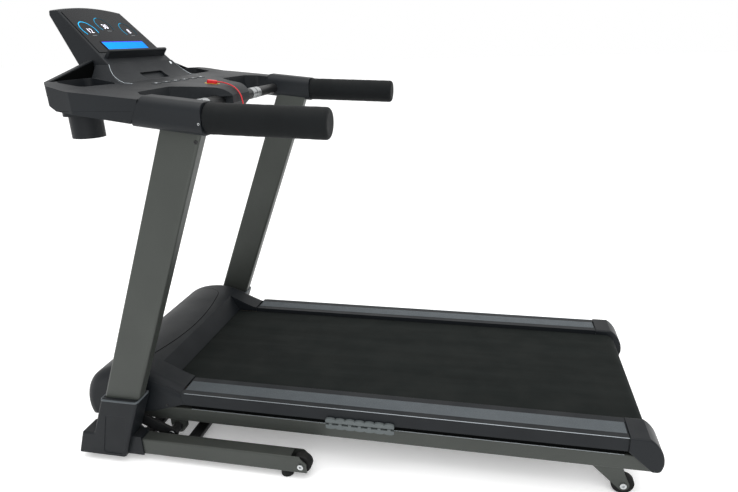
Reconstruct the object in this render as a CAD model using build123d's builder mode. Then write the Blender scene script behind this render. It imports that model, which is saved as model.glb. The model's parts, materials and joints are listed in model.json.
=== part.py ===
"""Folding motor treadmill: base with masts and console, and a running deck that inclines and folds up.

Millimetres. +X points to the rear, where the runner steps on, +Z up, origin on the floor under the centre.
The left side is the runner's left, at -Y.
"""

import math
import os

from build123d import *

os.makedirs("parts", exist_ok=True)

SIDES = ((-1, "left"), (1, "right"))
GAP = 0.3  # between moulded pieces that sit on each other
RUN = 0.05  # radial running clearance of shafts

# Overall reach
FRONT_X = -777.0
REAR_X = 777.0
HANDLE_Z = 944.0  # height of the handles at their front ends

# Running surface
BELT_TOP = 184.8
BELT_THICK = 2.5
BELT_HALF = 225.0
ROLLER_R = 27.0
FRONT_ROLLER_X = -585.0
REAR_ROLLER_X = REAR_X - 55
AXLE_R = 8.0
BOARD_THICK = 18.0
BOARD_HALF = 252.0
BOARD_FRONT = -530.0
BOARD_REAR = REAR_X - 92

# Side rails and rear caps
RAIL_INNER = 230.0
RAIL_OUTER = 308.5
RAIL_TOP = 196.0
RAIL_BOTTOM = 157.0
RAIL_WALL = 3.0
RAIL_FALL = 1.5
CAP_SEAM = REAR_X - 83
STRIP_INNER = 249.0
STRIP_OUTER = 290.5
STRIP_DEPTH = 1.2
STRIP_PROUD = 0.6
STRIP_GROOVES = 6

# Deck side tubes
TUBE_INNER = 256.0
TUBE_OUTER = 286.0
TUBE_LOW = 85.0
TUBE_HIGH = 129.0
TUBE_WALL = 2.0
TUBE_FRONT = -750.0
TUBE_REAR = REAR_X - 13
BRACKET_XS = (-420.0, -180.0, 200.0, 420.0, REAR_X - 137)
BRACKET_LONG = 44.0
SEAT_Z = 150.0
SEAT_THICK = 3.0
CUSHION_R = 7.0
CUSHION_Y = 244.0
CROSS_XS = (-400.0, -100.0, 200.0, 500.0, REAR_X - 117)
CROSS_LONG = 30.0
CROSS_LOW = 92.0
CROSS_HIGH = 117.0

# Rear wheels under the deck
WHEEL_X = REAR_X - 75
WHEEL_R = 28.0
WHEEL_Y = 264.0
WHEEL_WIDE = 18.0
WHEEL_BOLT_R = 4.0
FORK_WALL = 3.0
FORK_GAP = 1.0

# Fold and incline pivots
FOLD_X = -655.0
FOLD_Z = 128.0
FOLD_PIN_R = 10.0
LIFT_X = -509.0
LIFT_Z = 62.0
LIFT_TUBE_R = 14.0
LIFT_ARM_INNER = 310.0
LIFT_ARM_THICK = 6.5
LIFT_ARM_HALF = 17.0
LUG_R = 22.0
LUG_INNER = 262.0
LUG_OUTER = 280.0
LEVER_DROP = 30.0
LEVER_INNER = 7.0
LEVER_THICK = 4.0
LEVER_PIN_R = 5.0

# Base frame
FLOOR_INNER = 326.0
FLOOR_OUTER = 366.0
FLOOR_LOW = 22.0
FLOOR_HIGH = 72.0
FLOOR_FRONT = -700.0
FLOOR_REAR = -97.0
FLOOR_WALL = 2.5
FLOOR_ROUND = 5.0
END_BEVEL = 20.0
PLATE_INNER = 318.0
PLATE_HALF = 36.0
FRONT_CROSS_X = -605.0
CROSS_TUBE_HIGH = 38.0
REAR_CROSS_X = -460.0
BASE_CROSS_LONG = 36.0
FOOT_R = 17.0
FRONT_FOOT_X = -741.0
REAR_FOOT_X = -158.0
ROLL_WHEEL_X = -113.0
ROLL_WHEEL_Z = 44.0
ROLL_WHEEL_R = 26.0
ROLL_WHEEL_WIDE = 26.0

# Masts and boots
MAST_INNER = 339.0
MAST_OUTER = 375.0
MAST_FOOT_X = -706.0
MAST_TOP_X = -364.5
MAST_LONG = 101.6
MAST_TOP = HANDLE_Z - 16
MAST_LEAN = (MAST_TOP_X - MAST_FOOT_X) / (MAST_TOP - FLOOR_HIGH)  # run per rise towards the rear
MAST_WALL = 3.0
MAST_ROUND = 7.0
BOOT_INNER = 327.0
BOOT_OUTER = 386.0
BOOT_TOP = 208.0

# Handles and arms
GRIP_Y = 369.0
GRIP_R = 33.6
GRIP_FRONT = -250.0
GRIP_REAR = 19.0
GRIP_FRONT_Z = HANDLE_Z
GRIP_REAR_Z = HANDLE_Z - 11
HANDLE_R = 16.0
HANDLE_WALL = 2.0
HANDLE_FRONT = -335.0
ARM_HALF = 35.0
ARM_SEAM_LOW = -416.0
ARM_SEAM_HIGH = -385.0
ARM_ROUND = 20.0
BAR_X = -372.0
BAR_Z = HANDLE_Z + 6
BAR_R = 15.0
CONTACT_WALL = 1.0
CONTACT_LONG = 26.0
CONTACT_YS = (152.0, 184.0)

# Console
SPLIT_Z = HANDLE_Z + 18
TRAY_REAR_Z = HANDLE_Z + 45
TRAY_FRONT_Z = HANDLE_Z + 62
TRAY_UNDER_Z = HANDLE_Z + 44
TRAY_REAR_X = -400.0
TRAY_FRONT_X = -568.0
TRAY_EDGE = -680.0
NOSE_X = -335.0
NOSE_HALF = 80.0
TRAY_HALF = GRIP_Y + ARM_HALF
RISER_HALF = 152.0
RISER_TOP = HANDLE_Z + 106
RISER_BACK = -705.0
RISER_FLARE = 36.0
POCKET_WIDE = 110.0
POCKET_LONG = 30.0
POCKET_DEEP = 12.0
POCKET_DOWN = 0.7  # share of the riser's face above the pocket's middle
RIM_Z = HANDLE_Z + 76
CUP_X = -620.0
CUP_Y = 272.0
CUP_R = 35.0
CUP_WALL = 3.0
CUP_FLOOR = HANDLE_Z - 56
CUP_STEP = HANDLE_Z + 1
CUP_ROUND = 16.0
WING_WALL = 12.0
WING_RISE = 12.0

# Display head: a wedge whose face leans 45 degrees towards the runner
HEAD_TOP_X = -750.0
HEAD_LONG = 188.0
HEAD_TOP_Z = RISER_TOP + HEAD_LONG / math.sqrt(2)
HEAD_TOP_HALF = 131.0
HEAD_CROWN = 14.0
HEAD_BACK_DROP = 12.0
HEAD_ROUND = 4.0
PANEL_EDGE = 6.0
PANEL_THICK = 1.5
PANEL_LONG = 147.0
LCD_HALF = 93.0
LCD_LONG = 30.0
LCD_FROM_TOP = 112.0
LCD_THICK = 0.8
LEDGE_HALF = 136.0
LEDGE_FROM_TOP = 160.0
LEDGE_OUT = 22.0
LEDGE_THICK = 9.0

# Buttons and safety key
BUTTON_NAMES = ("start", "speed_down", "speed_up", "incline_down", "incline_up", "stop")
BUTTON_X = -512.0
BUTTON_PITCH = 48.0
BUTTON_LONG = 16.0
BUTTON_WIDE = 30.0
BUTTON_PROUD = 1.6
BUTTON_DEEP = 3.0
BUTTON_TRAVEL = 1.5
BUTTON_GAP = 0.4
KEY_X = -417.0
KEY_LONG = 28.0
KEY_WIDE = 16.0
KEY_TALL = 9.0
CORD_R = 1.6
CLIP_LONG = 34.0
CLIP_WIDE = 11.0
CLIP_THICK = 7.0

# Motor bay
HOOD_WALL = 3.0
HOOD_ROUND = 30.0
HOOD_REAR = -465.0
MOUTH_HALF = 226.0
MOUTH_X = -530.0
MOUTH_LEAN = 62.0
MOUTH_HIGH = 115.0
MOUTH_BEHIND = 40.0
MOTOR_X = -690.0
MOTOR_Z = 166.0
MOTOR_R = 46.0
MOTOR_LONG = 190.0
MOTOR_Y = 45.0
MOTOR_SHAFT_R = 9.0
PULLEY_Y = -238.0
PULLEY_WIDE = 16.0
MOTOR_PULLEY_R = 18.0
ROLLER_PULLEY_R = 42.0
FLYWHEEL_R = 44.0
FLYWHEEL_WIDE = 26.0
DRIVE_BELT_THICK = 3.0
MOTOR_PLATE_FRONT = -745.0
MOTOR_PLATE_REAR = -640.0
MOTOR_PLATE_HIGH = 112.0
MOTOR_PLATE_THICK = 6.0
ACTUATOR_X = -715.0
ACTUATOR_Z = 78.0
ACTUATOR_R = 20.0
ACTUATOR_BACK = 20.0
TRUNNION_R = 5.0
TRUNNION_LONG = 9.0
ACTUATOR_AHEAD = 70.0
ROD_R = 6.0
EYE_R = 14.0
EYE_BORE = 9.0
EYE_HALF = 6.0

# Grey cushion strip on each flank
FLANK_FRONT = -53.0
FLANK_REAR = 129.0
FLANK_LOW = 134.0
FLANK_HIGH = 167.0
FLANK_THICK = 5.0
BUMP_COUNT = 7
BUMP_R = 9.0
BUMP_PROUD = 2.5

# Worked out from the sizes above
RAIL_FRONT = HOOD_REAR + GAP
RISER_FACE = HEAD_TOP_X + HEAD_TOP_Z - RISER_TOP
BELT_INNER_R = ROLLER_R + GAP
ROLLER_Z = BELT_TOP - BELT_THICK - BELT_INNER_R
BOARD_TOP = BELT_TOP - BELT_THICK - GAP
BOARD_LOW = BOARD_TOP - BOARD_THICK
PANEL_SLOPE = math.atan2(TRAY_FRONT_Z - TRAY_REAR_Z, TRAY_REAR_X - TRAY_FRONT_X)
PANEL_NORMAL = (math.sin(PANEL_SLOPE), 0, math.cos(PANEL_SLOPE))
GRIP_DIR = Vector(GRIP_REAR - GRIP_FRONT, 0, GRIP_REAR_Z - GRIP_FRONT_Z).normalized()
FACE_DIR = Vector(1, 0, -1).normalized()
FACE_NORMAL = Vector(1, 0, 1).normalized()
HEAD_TOP = Vector(HEAD_TOP_X, 0, HEAD_TOP_Z)


def side_plane(side, inner, outer):
    """Upright sketch plane whose extrusion of outer - inner fills that band of |y| on one side."""
    return Plane.XZ.offset(inner if side < 0 else -outer)


def save(part, name):
    """Label a finished piece and write it."""
    part.label = name
    export_step(part, f"parts/{name}.step")


def mast_x(z):
    """Front edge of a mast at a height."""
    return MAST_FOOT_X + MAST_LEAN * (z - FLOOR_HIGH)


def panel_z(x):
    """Height of the sloping console top."""
    return TRAY_REAR_Z + (TRAY_REAR_X - x) * math.tan(PANEL_SLOPE)


def grip_z(x):
    """Height of the handle axis."""
    return GRIP_FRONT_Z + (x - GRIP_FRONT) * GRIP_DIR.Z / GRIP_DIR.X


def face_point(down, out=0.0, y=0.0):
    """Point on the display face, a distance down from its top edge and out along its normal."""
    return HEAD_TOP + FACE_DIR * down + FACE_NORMAL * out + Vector(0, y, 0)


# Base: floor tubes with forked rear ends and fold pivot plates, joined by cross tubes
FLOOR_Y = (FLOOR_INNER + FLOOR_OUTER) / 2
FLOOR_Z = (FLOOR_LOW + FLOOR_HIGH) / 2
FLOOR_WIDE = FLOOR_OUTER - FLOOR_INNER
FLOOR_TALL = FLOOR_HIGH - FLOOR_LOW
FORK_LONG = ROLL_WHEEL_R + FLOOR_REAR - ROLL_WHEEL_X
PLATE_REAR = FRONT_CROSS_X + BASE_CROSS_LONG / 2
for side, side_name in SIDES:
    with BuildPart() as floor_tube:
        with BuildSketch(Plane.YZ.offset(FLOOR_FRONT)):
            with Locations((side * FLOOR_Y, FLOOR_Z)):
                RectangleRounded(FLOOR_WIDE, FLOOR_TALL, FLOOR_ROUND)
                RectangleRounded(
                    FLOOR_WIDE - 2 * FLOOR_WALL,
                    FLOOR_TALL - 2 * FLOOR_WALL,
                    FLOOR_ROUND - FLOOR_WALL,
                    mode=Mode.SUBTRACT,
                )
        extrude(amount=FLOOR_REAR - FLOOR_FRONT)
        with BuildSketch(Plane.XY.offset(FLOOR_LOW)):
            with Locations((FLOOR_REAR, side * FLOOR_Y)):
                Rectangle(2 * FORK_LONG, FLOOR_WIDE - 4 * FLOOR_WALL)
        extrude(amount=FLOOR_TALL, mode=Mode.SUBTRACT)
        with BuildSketch(side_plane(side, FLOOR_INNER, FLOOR_OUTER)):
            Polygon(
                (FLOOR_REAR, FLOOR_HIGH - END_BEVEL),
                (FLOOR_REAR, FLOOR_HIGH),
                (FLOOR_REAR - END_BEVEL, FLOOR_HIGH),
                align=None,
            )
            with Locations((ROLL_WHEEL_X, ROLL_WHEEL_Z)):
                Circle(WHEEL_BOLT_R + RUN)
        extrude(amount=FLOOR_WIDE, mode=Mode.SUBTRACT)
        with BuildSketch(side_plane(side, PLATE_INNER, FLOOR_INNER)):
            Polygon(
                (FOLD_X - PLATE_HALF, FLOOR_LOW + FLOOR_ROUND),
                (PLATE_REAR, FLOOR_LOW + FLOOR_ROUND),
                (PLATE_REAR, FLOOR_HIGH - FLOOR_ROUND),
                (FOLD_X + LUG_R, FOLD_Z),
                (FOLD_X - LUG_R, FOLD_Z),
                (FOLD_X - PLATE_HALF, FLOOR_HIGH - FLOOR_ROUND),
                align=None,
            )
            with Locations((FOLD_X, FOLD_Z)):
                Circle(LUG_R)
                Circle(FOLD_PIN_R + RUN, mode=Mode.SUBTRACT)
        extrude(amount=FLOOR_INNER - PLATE_INNER)
    save(floor_tube.part, f"floor_tube_{side_name}")

with BuildPart() as base_cross_tubes:
    for cross_x, reach in ((FRONT_CROSS_X, PLATE_INNER), (REAR_CROSS_X, FLOOR_INNER)):
        with BuildSketch(Plane.XZ):
            with Locations((cross_x, (FLOOR_LOW + CROSS_TUBE_HIGH) / 2)):
                RectangleRounded(BASE_CROSS_LONG, CROSS_TUBE_HIGH - FLOOR_LOW, FLOOR_ROUND)
        extrude(amount=reach, both=True)
save(base_cross_tubes.part, "base_cross_tubes")

# Rubber feet under the boots and floor tubes
with BuildPart() as base_feet:
    for side, _ in SIDES:
        for foot_x in (FRONT_FOOT_X, REAR_FOOT_X):
            with BuildSketch():
                with Locations((foot_x, side * FLOOR_Y)):
                    Circle(FOOT_R)
            extrude(amount=FLOOR_LOW)
    chamfer(base_feet.edges().group_by(Axis.Z)[0], 3)
save(base_feet.part, "base_feet")

# Transport wheels in the forked tube ends, on socket bolts
for side, side_name in SIDES:
    with BuildPart() as roll_wheel:
        with BuildSketch(Plane.XZ.offset(-side * FLOOR_Y - ROLL_WHEEL_WIDE / 2)):
            with Locations((ROLL_WHEEL_X, ROLL_WHEEL_Z)):
                Circle(ROLL_WHEEL_R)
                Circle(WHEEL_BOLT_R + RUN, mode=Mode.SUBTRACT)
        extrude(amount=ROLL_WHEEL_WIDE)
        rims = roll_wheel.edges().filter_by(GeomType.CIRCLE)
        fillet(rims.filter_by(lambda e: e.radius > ROLL_WHEEL_R - 1), 4)
    save(roll_wheel.part, f"transport_wheel_{side_name}")

with BuildPart() as transport_axles:
    for side, _ in SIDES:
        with BuildSketch(side_plane(side, FLOOR_INNER, FLOOR_OUTER)):
            with Locations((ROLL_WHEEL_X, ROLL_WHEEL_Z)):
                Circle(WHEEL_BOLT_R)
        extrude(amount=FLOOR_OUTER - FLOOR_INNER)
        for inner in (FLOOR_INNER - 4, FLOOR_OUTER):
            with BuildSketch(side_plane(side, inner, inner + 4)):
                with Locations((ROLL_WHEEL_X, ROLL_WHEEL_Z)):
                    Circle(2 * WHEEL_BOLT_R)
                    if inner == FLOOR_OUTER:
                        RegularPolygon(WHEEL_BOLT_R, 6, mode=Mode.SUBTRACT)
            extrude(amount=4)
save(transport_axles.part, "transport_axles")


# Masts: leaning steel tubes standing on the floor tubes
def mast_outline(inset, low, high):
    """Corners of a mast's leaning side view between two heights, set in along X."""
    return (
        (mast_x(low) + inset, low),
        (mast_x(low) + MAST_LONG - inset, low),
        (mast_x(high) + MAST_LONG - inset, high),
        (mast_x(high) + inset, high),
    )


for side, side_name in SIDES:
    with BuildPart() as mast:
        with BuildSketch(side_plane(side, MAST_INNER, MAST_OUTER)):
            Polygon(*mast_outline(0, FLOOR_HIGH, MAST_TOP), align=None)
        extrude(amount=MAST_OUTER - MAST_INNER)
        fillet(mast.edges().filter_by(lambda e: e.length > MAST_TOP - FLOOR_HIGH), MAST_ROUND)
        with BuildSketch(side_plane(side, MAST_INNER + MAST_WALL, MAST_OUTER - MAST_WALL)):
            Polygon(*mast_outline(MAST_WALL, FLOOR_HIGH, MAST_TOP), align=None)
        extrude(amount=MAST_OUTER - MAST_INNER - 2 * MAST_WALL, mode=Mode.SUBTRACT)
    save(mast.part, f"mast_{side_name}")

# Boots: moulded covers over the mast feet, with a toe ahead and a collar round the floor tube
BOOT_WALL = 4.0
TOE_X = -763.0
TOE_TOP_X = -739.0
TOE_HIGH = 92.0
HEEL_X = -618.0
WAIST_X = -575.0
WAIST_Z = 135.0
COLLAR_LONG = 24.0
COLLAR_RISE = 10.0
PANEL_RECESS = 1.2
PANEL_INSET = 20.0
PANEL_HIGH = 156.0
for side, side_name in SIDES:
    with BuildPart() as boot:
        with BuildSketch(side_plane(side, BOOT_INNER, BOOT_OUTER)) as boot_side:
            Polygon(
                (TOE_X, FLOOR_LOW),
                (TOE_TOP_X, TOE_HIGH),
                (mast_x(TOE_HIGH) - BOOT_WALL, TOE_HIGH),
                (mast_x(BOOT_TOP) - BOOT_WALL, BOOT_TOP),
                (mast_x(BOOT_TOP) + MAST_LONG + BOOT_WALL, BOOT_TOP),
                (WAIST_X, WAIST_Z),
                (HEEL_X, FLOOR_LOW),
                align=None,
            )
            fillet(boot_side.vertices().filter_by(lambda v: v.Y > FLOOR_LOW + 1), 7)
        extrude(amount=BOOT_OUTER - BOOT_INNER)
        outer_face = boot.faces().sort_by(Axis.Y)[0 if side < 0 else -1]
        fillet(outer_face.edges().filter_by(lambda e: e.center().Z > FLOOR_LOW + 1), 6)
        with BuildSketch(side_plane(side, FLOOR_INNER + 1, FLOOR_OUTER + BOOT_WALL)):
            with Locations((HEEL_X + COLLAR_LONG, FLOOR_LOW)):
                Rectangle(2 * COLLAR_LONG, FLOOR_TALL + COLLAR_RISE, align=(Align.CENTER, Align.MIN))
        extrude(amount=FLOOR_OUTER + BOOT_WALL - FLOOR_INNER - 1)
        with BuildSketch(side_plane(side, MAST_INNER - GAP, MAST_OUTER + GAP)):
            Polygon(*mast_outline(-GAP, FLOOR_HIGH, BOOT_TOP + 1), align=None)
        extrude(amount=MAST_OUTER - MAST_INNER + 2 * GAP, mode=Mode.SUBTRACT)
        with BuildSketch(side_plane(side, FLOOR_INNER - 1, FLOOR_OUTER + GAP)):
            with Locations((FLOOR_FRONT - GAP, FLOOR_LOW - 1)):
                Rectangle(
                    FLOOR_REAR - FLOOR_FRONT,
                    FLOOR_HIGH + GAP - FLOOR_LOW + 1,
                    align=(Align.MIN, Align.MIN),
                )
        extrude(amount=FLOOR_OUTER + GAP - FLOOR_INNER + 1, mode=Mode.SUBTRACT)
        with BuildSketch(side_plane(side, BOOT_OUTER - PANEL_RECESS, BOOT_OUTER)) as recess:
            Polygon(
                (mast_x(FLOOR_LOW + 8) + 2 * PANEL_INSET, FLOOR_LOW + 8),
                (mast_x(PANEL_HIGH) + PANEL_INSET, PANEL_HIGH),
                (mast_x(PANEL_HIGH) + MAST_LONG - PANEL_INSET, PANEL_HIGH),
                (HEEL_X - BOOT_WALL, FLOOR_LOW + 8),
                align=None,
            )
            fillet(recess.vertices(), 8)
        extrude(amount=PANEL_RECESS, mode=Mode.SUBTRACT)
    save(boot.part, f"mast_boot_{side_name}")

# Arm covers over the mast tops, from the console seam to the grips
ARM_FRONT_LOW_Z = HANDLE_Z - 14
ARM_FRONT_HIGH_Z = HANDLE_Z + 50
GRIP_TILT = -GRIP_DIR.Z / GRIP_DIR.X


def seam_x(z):
    """Leaning seam between console and arm covers."""
    rise = (z - ARM_FRONT_LOW_Z) / (ARM_FRONT_HIGH_Z - ARM_FRONT_LOW_Z)
    return ARM_SEAM_LOW + (ARM_SEAM_HIGH - ARM_SEAM_LOW) * rise


def handle_plane(side, x):
    """Plane square to the handle axis at a place along it."""
    return Plane(origin=(x, side * GRIP_Y, grip_z(x)), x_dir=(0, 1, 0), z_dir=GRIP_DIR)


for side, side_name in SIDES:
    with BuildPart() as arm:
        with BuildSketch(side_plane(side, GRIP_Y - ARM_HALF, GRIP_Y + ARM_HALF)):
            Polygon(
                (ARM_SEAM_LOW, ARM_FRONT_LOW_Z),
                (ARM_SEAM_HIGH, ARM_FRONT_HIGH_Z),
                (GRIP_FRONT - GAP + GRIP_TILT * (GRIP_R + 1), GRIP_FRONT_Z + GRIP_R + 1),
                (GRIP_FRONT - GAP - GRIP_TILT * (GRIP_R + 1), GRIP_FRONT_Z - GRIP_R - 1),
                align=None,
            )
        extrude(amount=2 * ARM_HALF)
        long_edges = arm.edges().filter_by(lambda e: abs(e.tangent_at(0).X) > 0.9)
        fillet(long_edges, ARM_ROUND)
        with BuildSketch(side_plane(side, MAST_INNER - GAP, MAST_OUTER + GAP)):
            Polygon(*mast_outline(-GAP, ARM_FRONT_LOW_Z - 60, MAST_TOP + GAP), align=None)
        extrude(amount=MAST_OUTER - MAST_INNER + 2 * GAP, mode=Mode.SUBTRACT)
        with BuildSketch(handle_plane(side, HANDLE_FRONT - GAP)):
            Circle(HANDLE_R + GAP)
        extrude(amount=GRIP_REAR - HANDLE_FRONT, mode=Mode.SUBTRACT)
    save(arm.part, f"arm_cover_{side_name}")

# Handle tubes and their foam grips
HANDLE_LONG = GRIP_REAR - 10.0 - HANDLE_FRONT
with BuildPart() as handle_tubes:
    for side, _ in SIDES:
        with BuildSketch(handle_plane(side, HANDLE_FRONT)):
            Circle(HANDLE_R)
            Circle(HANDLE_R - HANDLE_WALL, mode=Mode.SUBTRACT)
        extrude(amount=HANDLE_LONG)
save(handle_tubes.part, "handle_tubes")

for side, side_name in SIDES:
    with BuildPart() as grip:
        with BuildSketch(handle_plane(side, GRIP_FRONT)):
            Circle(GRIP_R)
        extrude(amount=(GRIP_REAR - GRIP_FRONT) / GRIP_DIR.X)
        fillet(grip.edges().sort_by(Axis.X)[-1], 7)
        with BuildSketch(handle_plane(side, GRIP_FRONT)):
            Circle(HANDLE_R + GAP)
        extrude(amount=HANDLE_FRONT + HANDLE_LONG + GAP - GRIP_FRONT, mode=Mode.SUBTRACT)
    save(grip.part, f"foam_grip_{side_name}")

# Pulse bar between the arms, with steel contact sleeves
with BuildPart() as pulse_bar:
    with BuildSketch(Plane.XZ):
        with Locations((BAR_X, BAR_Z)):
            Circle(BAR_R)
            Circle(BAR_R - HANDLE_WALL, mode=Mode.SUBTRACT)
    extrude(amount=GRIP_Y - ARM_HALF - GAP, both=True)
save(pulse_bar.part, "pulse_bar")

with BuildPart() as pulse_contacts:
    for side, _ in SIDES:
        for contact_y in CONTACT_YS:
            with BuildSketch(side_plane(side, contact_y - CONTACT_LONG / 2, contact_y + CONTACT_LONG / 2)):
                with Locations((BAR_X, BAR_Z)):
                    Circle(BAR_R + RUN + CONTACT_WALL)
                    Circle(BAR_R + RUN, mode=Mode.SUBTRACT)
            extrude(amount=CONTACT_LONG)
save(pulse_contacts.part, "pulse_contacts")

# Console top: tray with cup openings, riser for the display and a nose over the pulse bar
NOSE_LOW_Z = BAR_Z - BAR_R - 5.0
NOSE_TOP_X = -375.0
OPENING_FRONT = -445.0
ARM_INNER = GRIP_Y - ARM_HALF


def both_sides(points):
    """Closed plan outline from the points of its right half."""
    return tuple(points) + tuple((x, -y) for x, y in reversed(points) if y > 0)


TRAY_OUTLINE = (
    (TRAY_EDGE - 6, 0),
    (TRAY_EDGE, RISER_HALF),
    (TRAY_EDGE + 12, 0.8 * TRAY_HALF),
    (TRAY_EDGE + 60, 0.95 * TRAY_HALF),
    (TRAY_EDGE + 130, TRAY_HALF),
)
SEAM_TAIL = (
    (ARM_SEAM_HIGH + 20, TRAY_HALF),
    (ARM_SEAM_HIGH + 20, ARM_INNER),
    (OPENING_FRONT + 20, ARM_INNER),
)
NOSE_OUTLINE = (
    (OPENING_FRONT - 8, ARM_INNER - 34),
    (OPENING_FRONT - 14, RISER_HALF),
    (OPENING_FRONT + 24, NOSE_HALF + 34),
    (NOSE_TOP_X + 6, NOSE_HALF),
    (NOSE_X, NOSE_HALF - 26),
    (NOSE_X, 0),
)
FLANK_FOOT = RISER_HALF + RISER_FLARE
CUP_OPENING = (
    (CUP_X - 38, FLANK_FOOT + 4),
    (CUP_X - 38, CUP_Y + 26),
    (CUP_X - 14, CUP_Y + 54),
    (CUP_X + 40, CUP_Y + 48),
    (CUP_X + 48, FLANK_FOOT + 4),
)

# Sloping underside of the console in side view, front to rear
UNDERSIDE = (
    (RISER_BACK - 5, TRAY_UNDER_Z),
    (-645.0, TRAY_UNDER_Z),
    (-600.0, SPLIT_Z),
    (-553.0, SPLIT_Z - 5),
    (ARM_SEAM_HIGH + 20, SPLIT_Z - 32),
)


def cup_plan(side, wall):
    """Outline of a cup's opening in the tray, grown by a wall."""
    with BuildSketch(mode=Mode.PRIVATE) as plan:
        Polygon(*((x, side * y) for x, y in CUP_OPENING), align=None)
        fillet(plan.vertices(), CUP_ROUND)
        if wall > 0:
            offset(amount=wall)
    return plan.sketch


# Room for the arm covers, behind their leaning seam
with BuildPart() as behind_seam:
    for side, _ in SIDES:
        with BuildSketch(side_plane(side, ARM_INNER - 4, TRAY_HALF + 4)):
            Polygon(
                (seam_x(SPLIT_Z - 60) - GAP, SPLIT_Z - 60),
                (seam_x(SPLIT_Z + 60) - GAP, SPLIT_Z + 60),
                (GRIP_FRONT, SPLIT_Z + 60),
                (GRIP_FRONT, SPLIT_Z - 60),
                align=None,
            )
        extrude(amount=TRAY_HALF - ARM_INNER + 8)


def riser_side():
    """Side view of the riser, whose face runs out into the tray."""
    with BuildSketch(mode=Mode.PRIVATE) as view:
        with BuildLine():
            Polyline(
                (TRAY_FRONT_X, TRAY_FRONT_Z),
                (TRAY_FRONT_X, TRAY_UNDER_Z),
                (RISER_BACK + 15, TRAY_UNDER_Z),
                (RISER_BACK, RISER_TOP),
                (RISER_FACE, RISER_TOP),
            )
            ThreePointArc(
                (RISER_FACE, RISER_TOP),
                ((RISER_FACE + TRAY_FRONT_X) / 2 - 4, (RISER_TOP + TRAY_FRONT_Z) / 2 - 4),
                (TRAY_FRONT_X, TRAY_FRONT_Z),
            )
        make_face()
    return view.sketch


# Flanks that spread from the riser to the tray behind the cups, and the pocket below the ledge
FLANK_EDGE = (
    (RISER_HALF, RISER_TOP),
    (FLANK_FOOT, TRAY_FRONT_Z),
    (FLANK_FOOT, TRAY_UNDER_Z),
)
with BuildPart() as riser_flanks:
    with BuildSketch(Plane.XZ):
        add(riser_side())
    extrude(amount=FLANK_FOOT, both=True)
    with BuildSketch(Plane.YZ.offset(CUP_X - CUP_R)):
        Polygon(*FLANK_EDGE, *((-y, z) for y, z in reversed(FLANK_EDGE)), align=None)
    extrude(amount=TRAY_FRONT_X - CUP_X + CUP_R, mode=Mode.INTERSECT)

with BuildPart() as riser_pocket:
    run = Vector(TRAY_FRONT_X - RISER_FACE, 0, TRAY_FRONT_Z - RISER_TOP)
    middle = Vector(RISER_FACE, 0, RISER_TOP) + run * POCKET_DOWN
    outward = Vector(-run.Z, 0, run.X).normalized()
    with BuildSketch(Plane(origin=middle - outward * POCKET_DEEP, x_dir=(0, 1, 0), z_dir=outward)):
        RectangleRounded(POCKET_WIDE, POCKET_LONG, 5)
    extrude(amount=2 * POCKET_DEEP)

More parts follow.
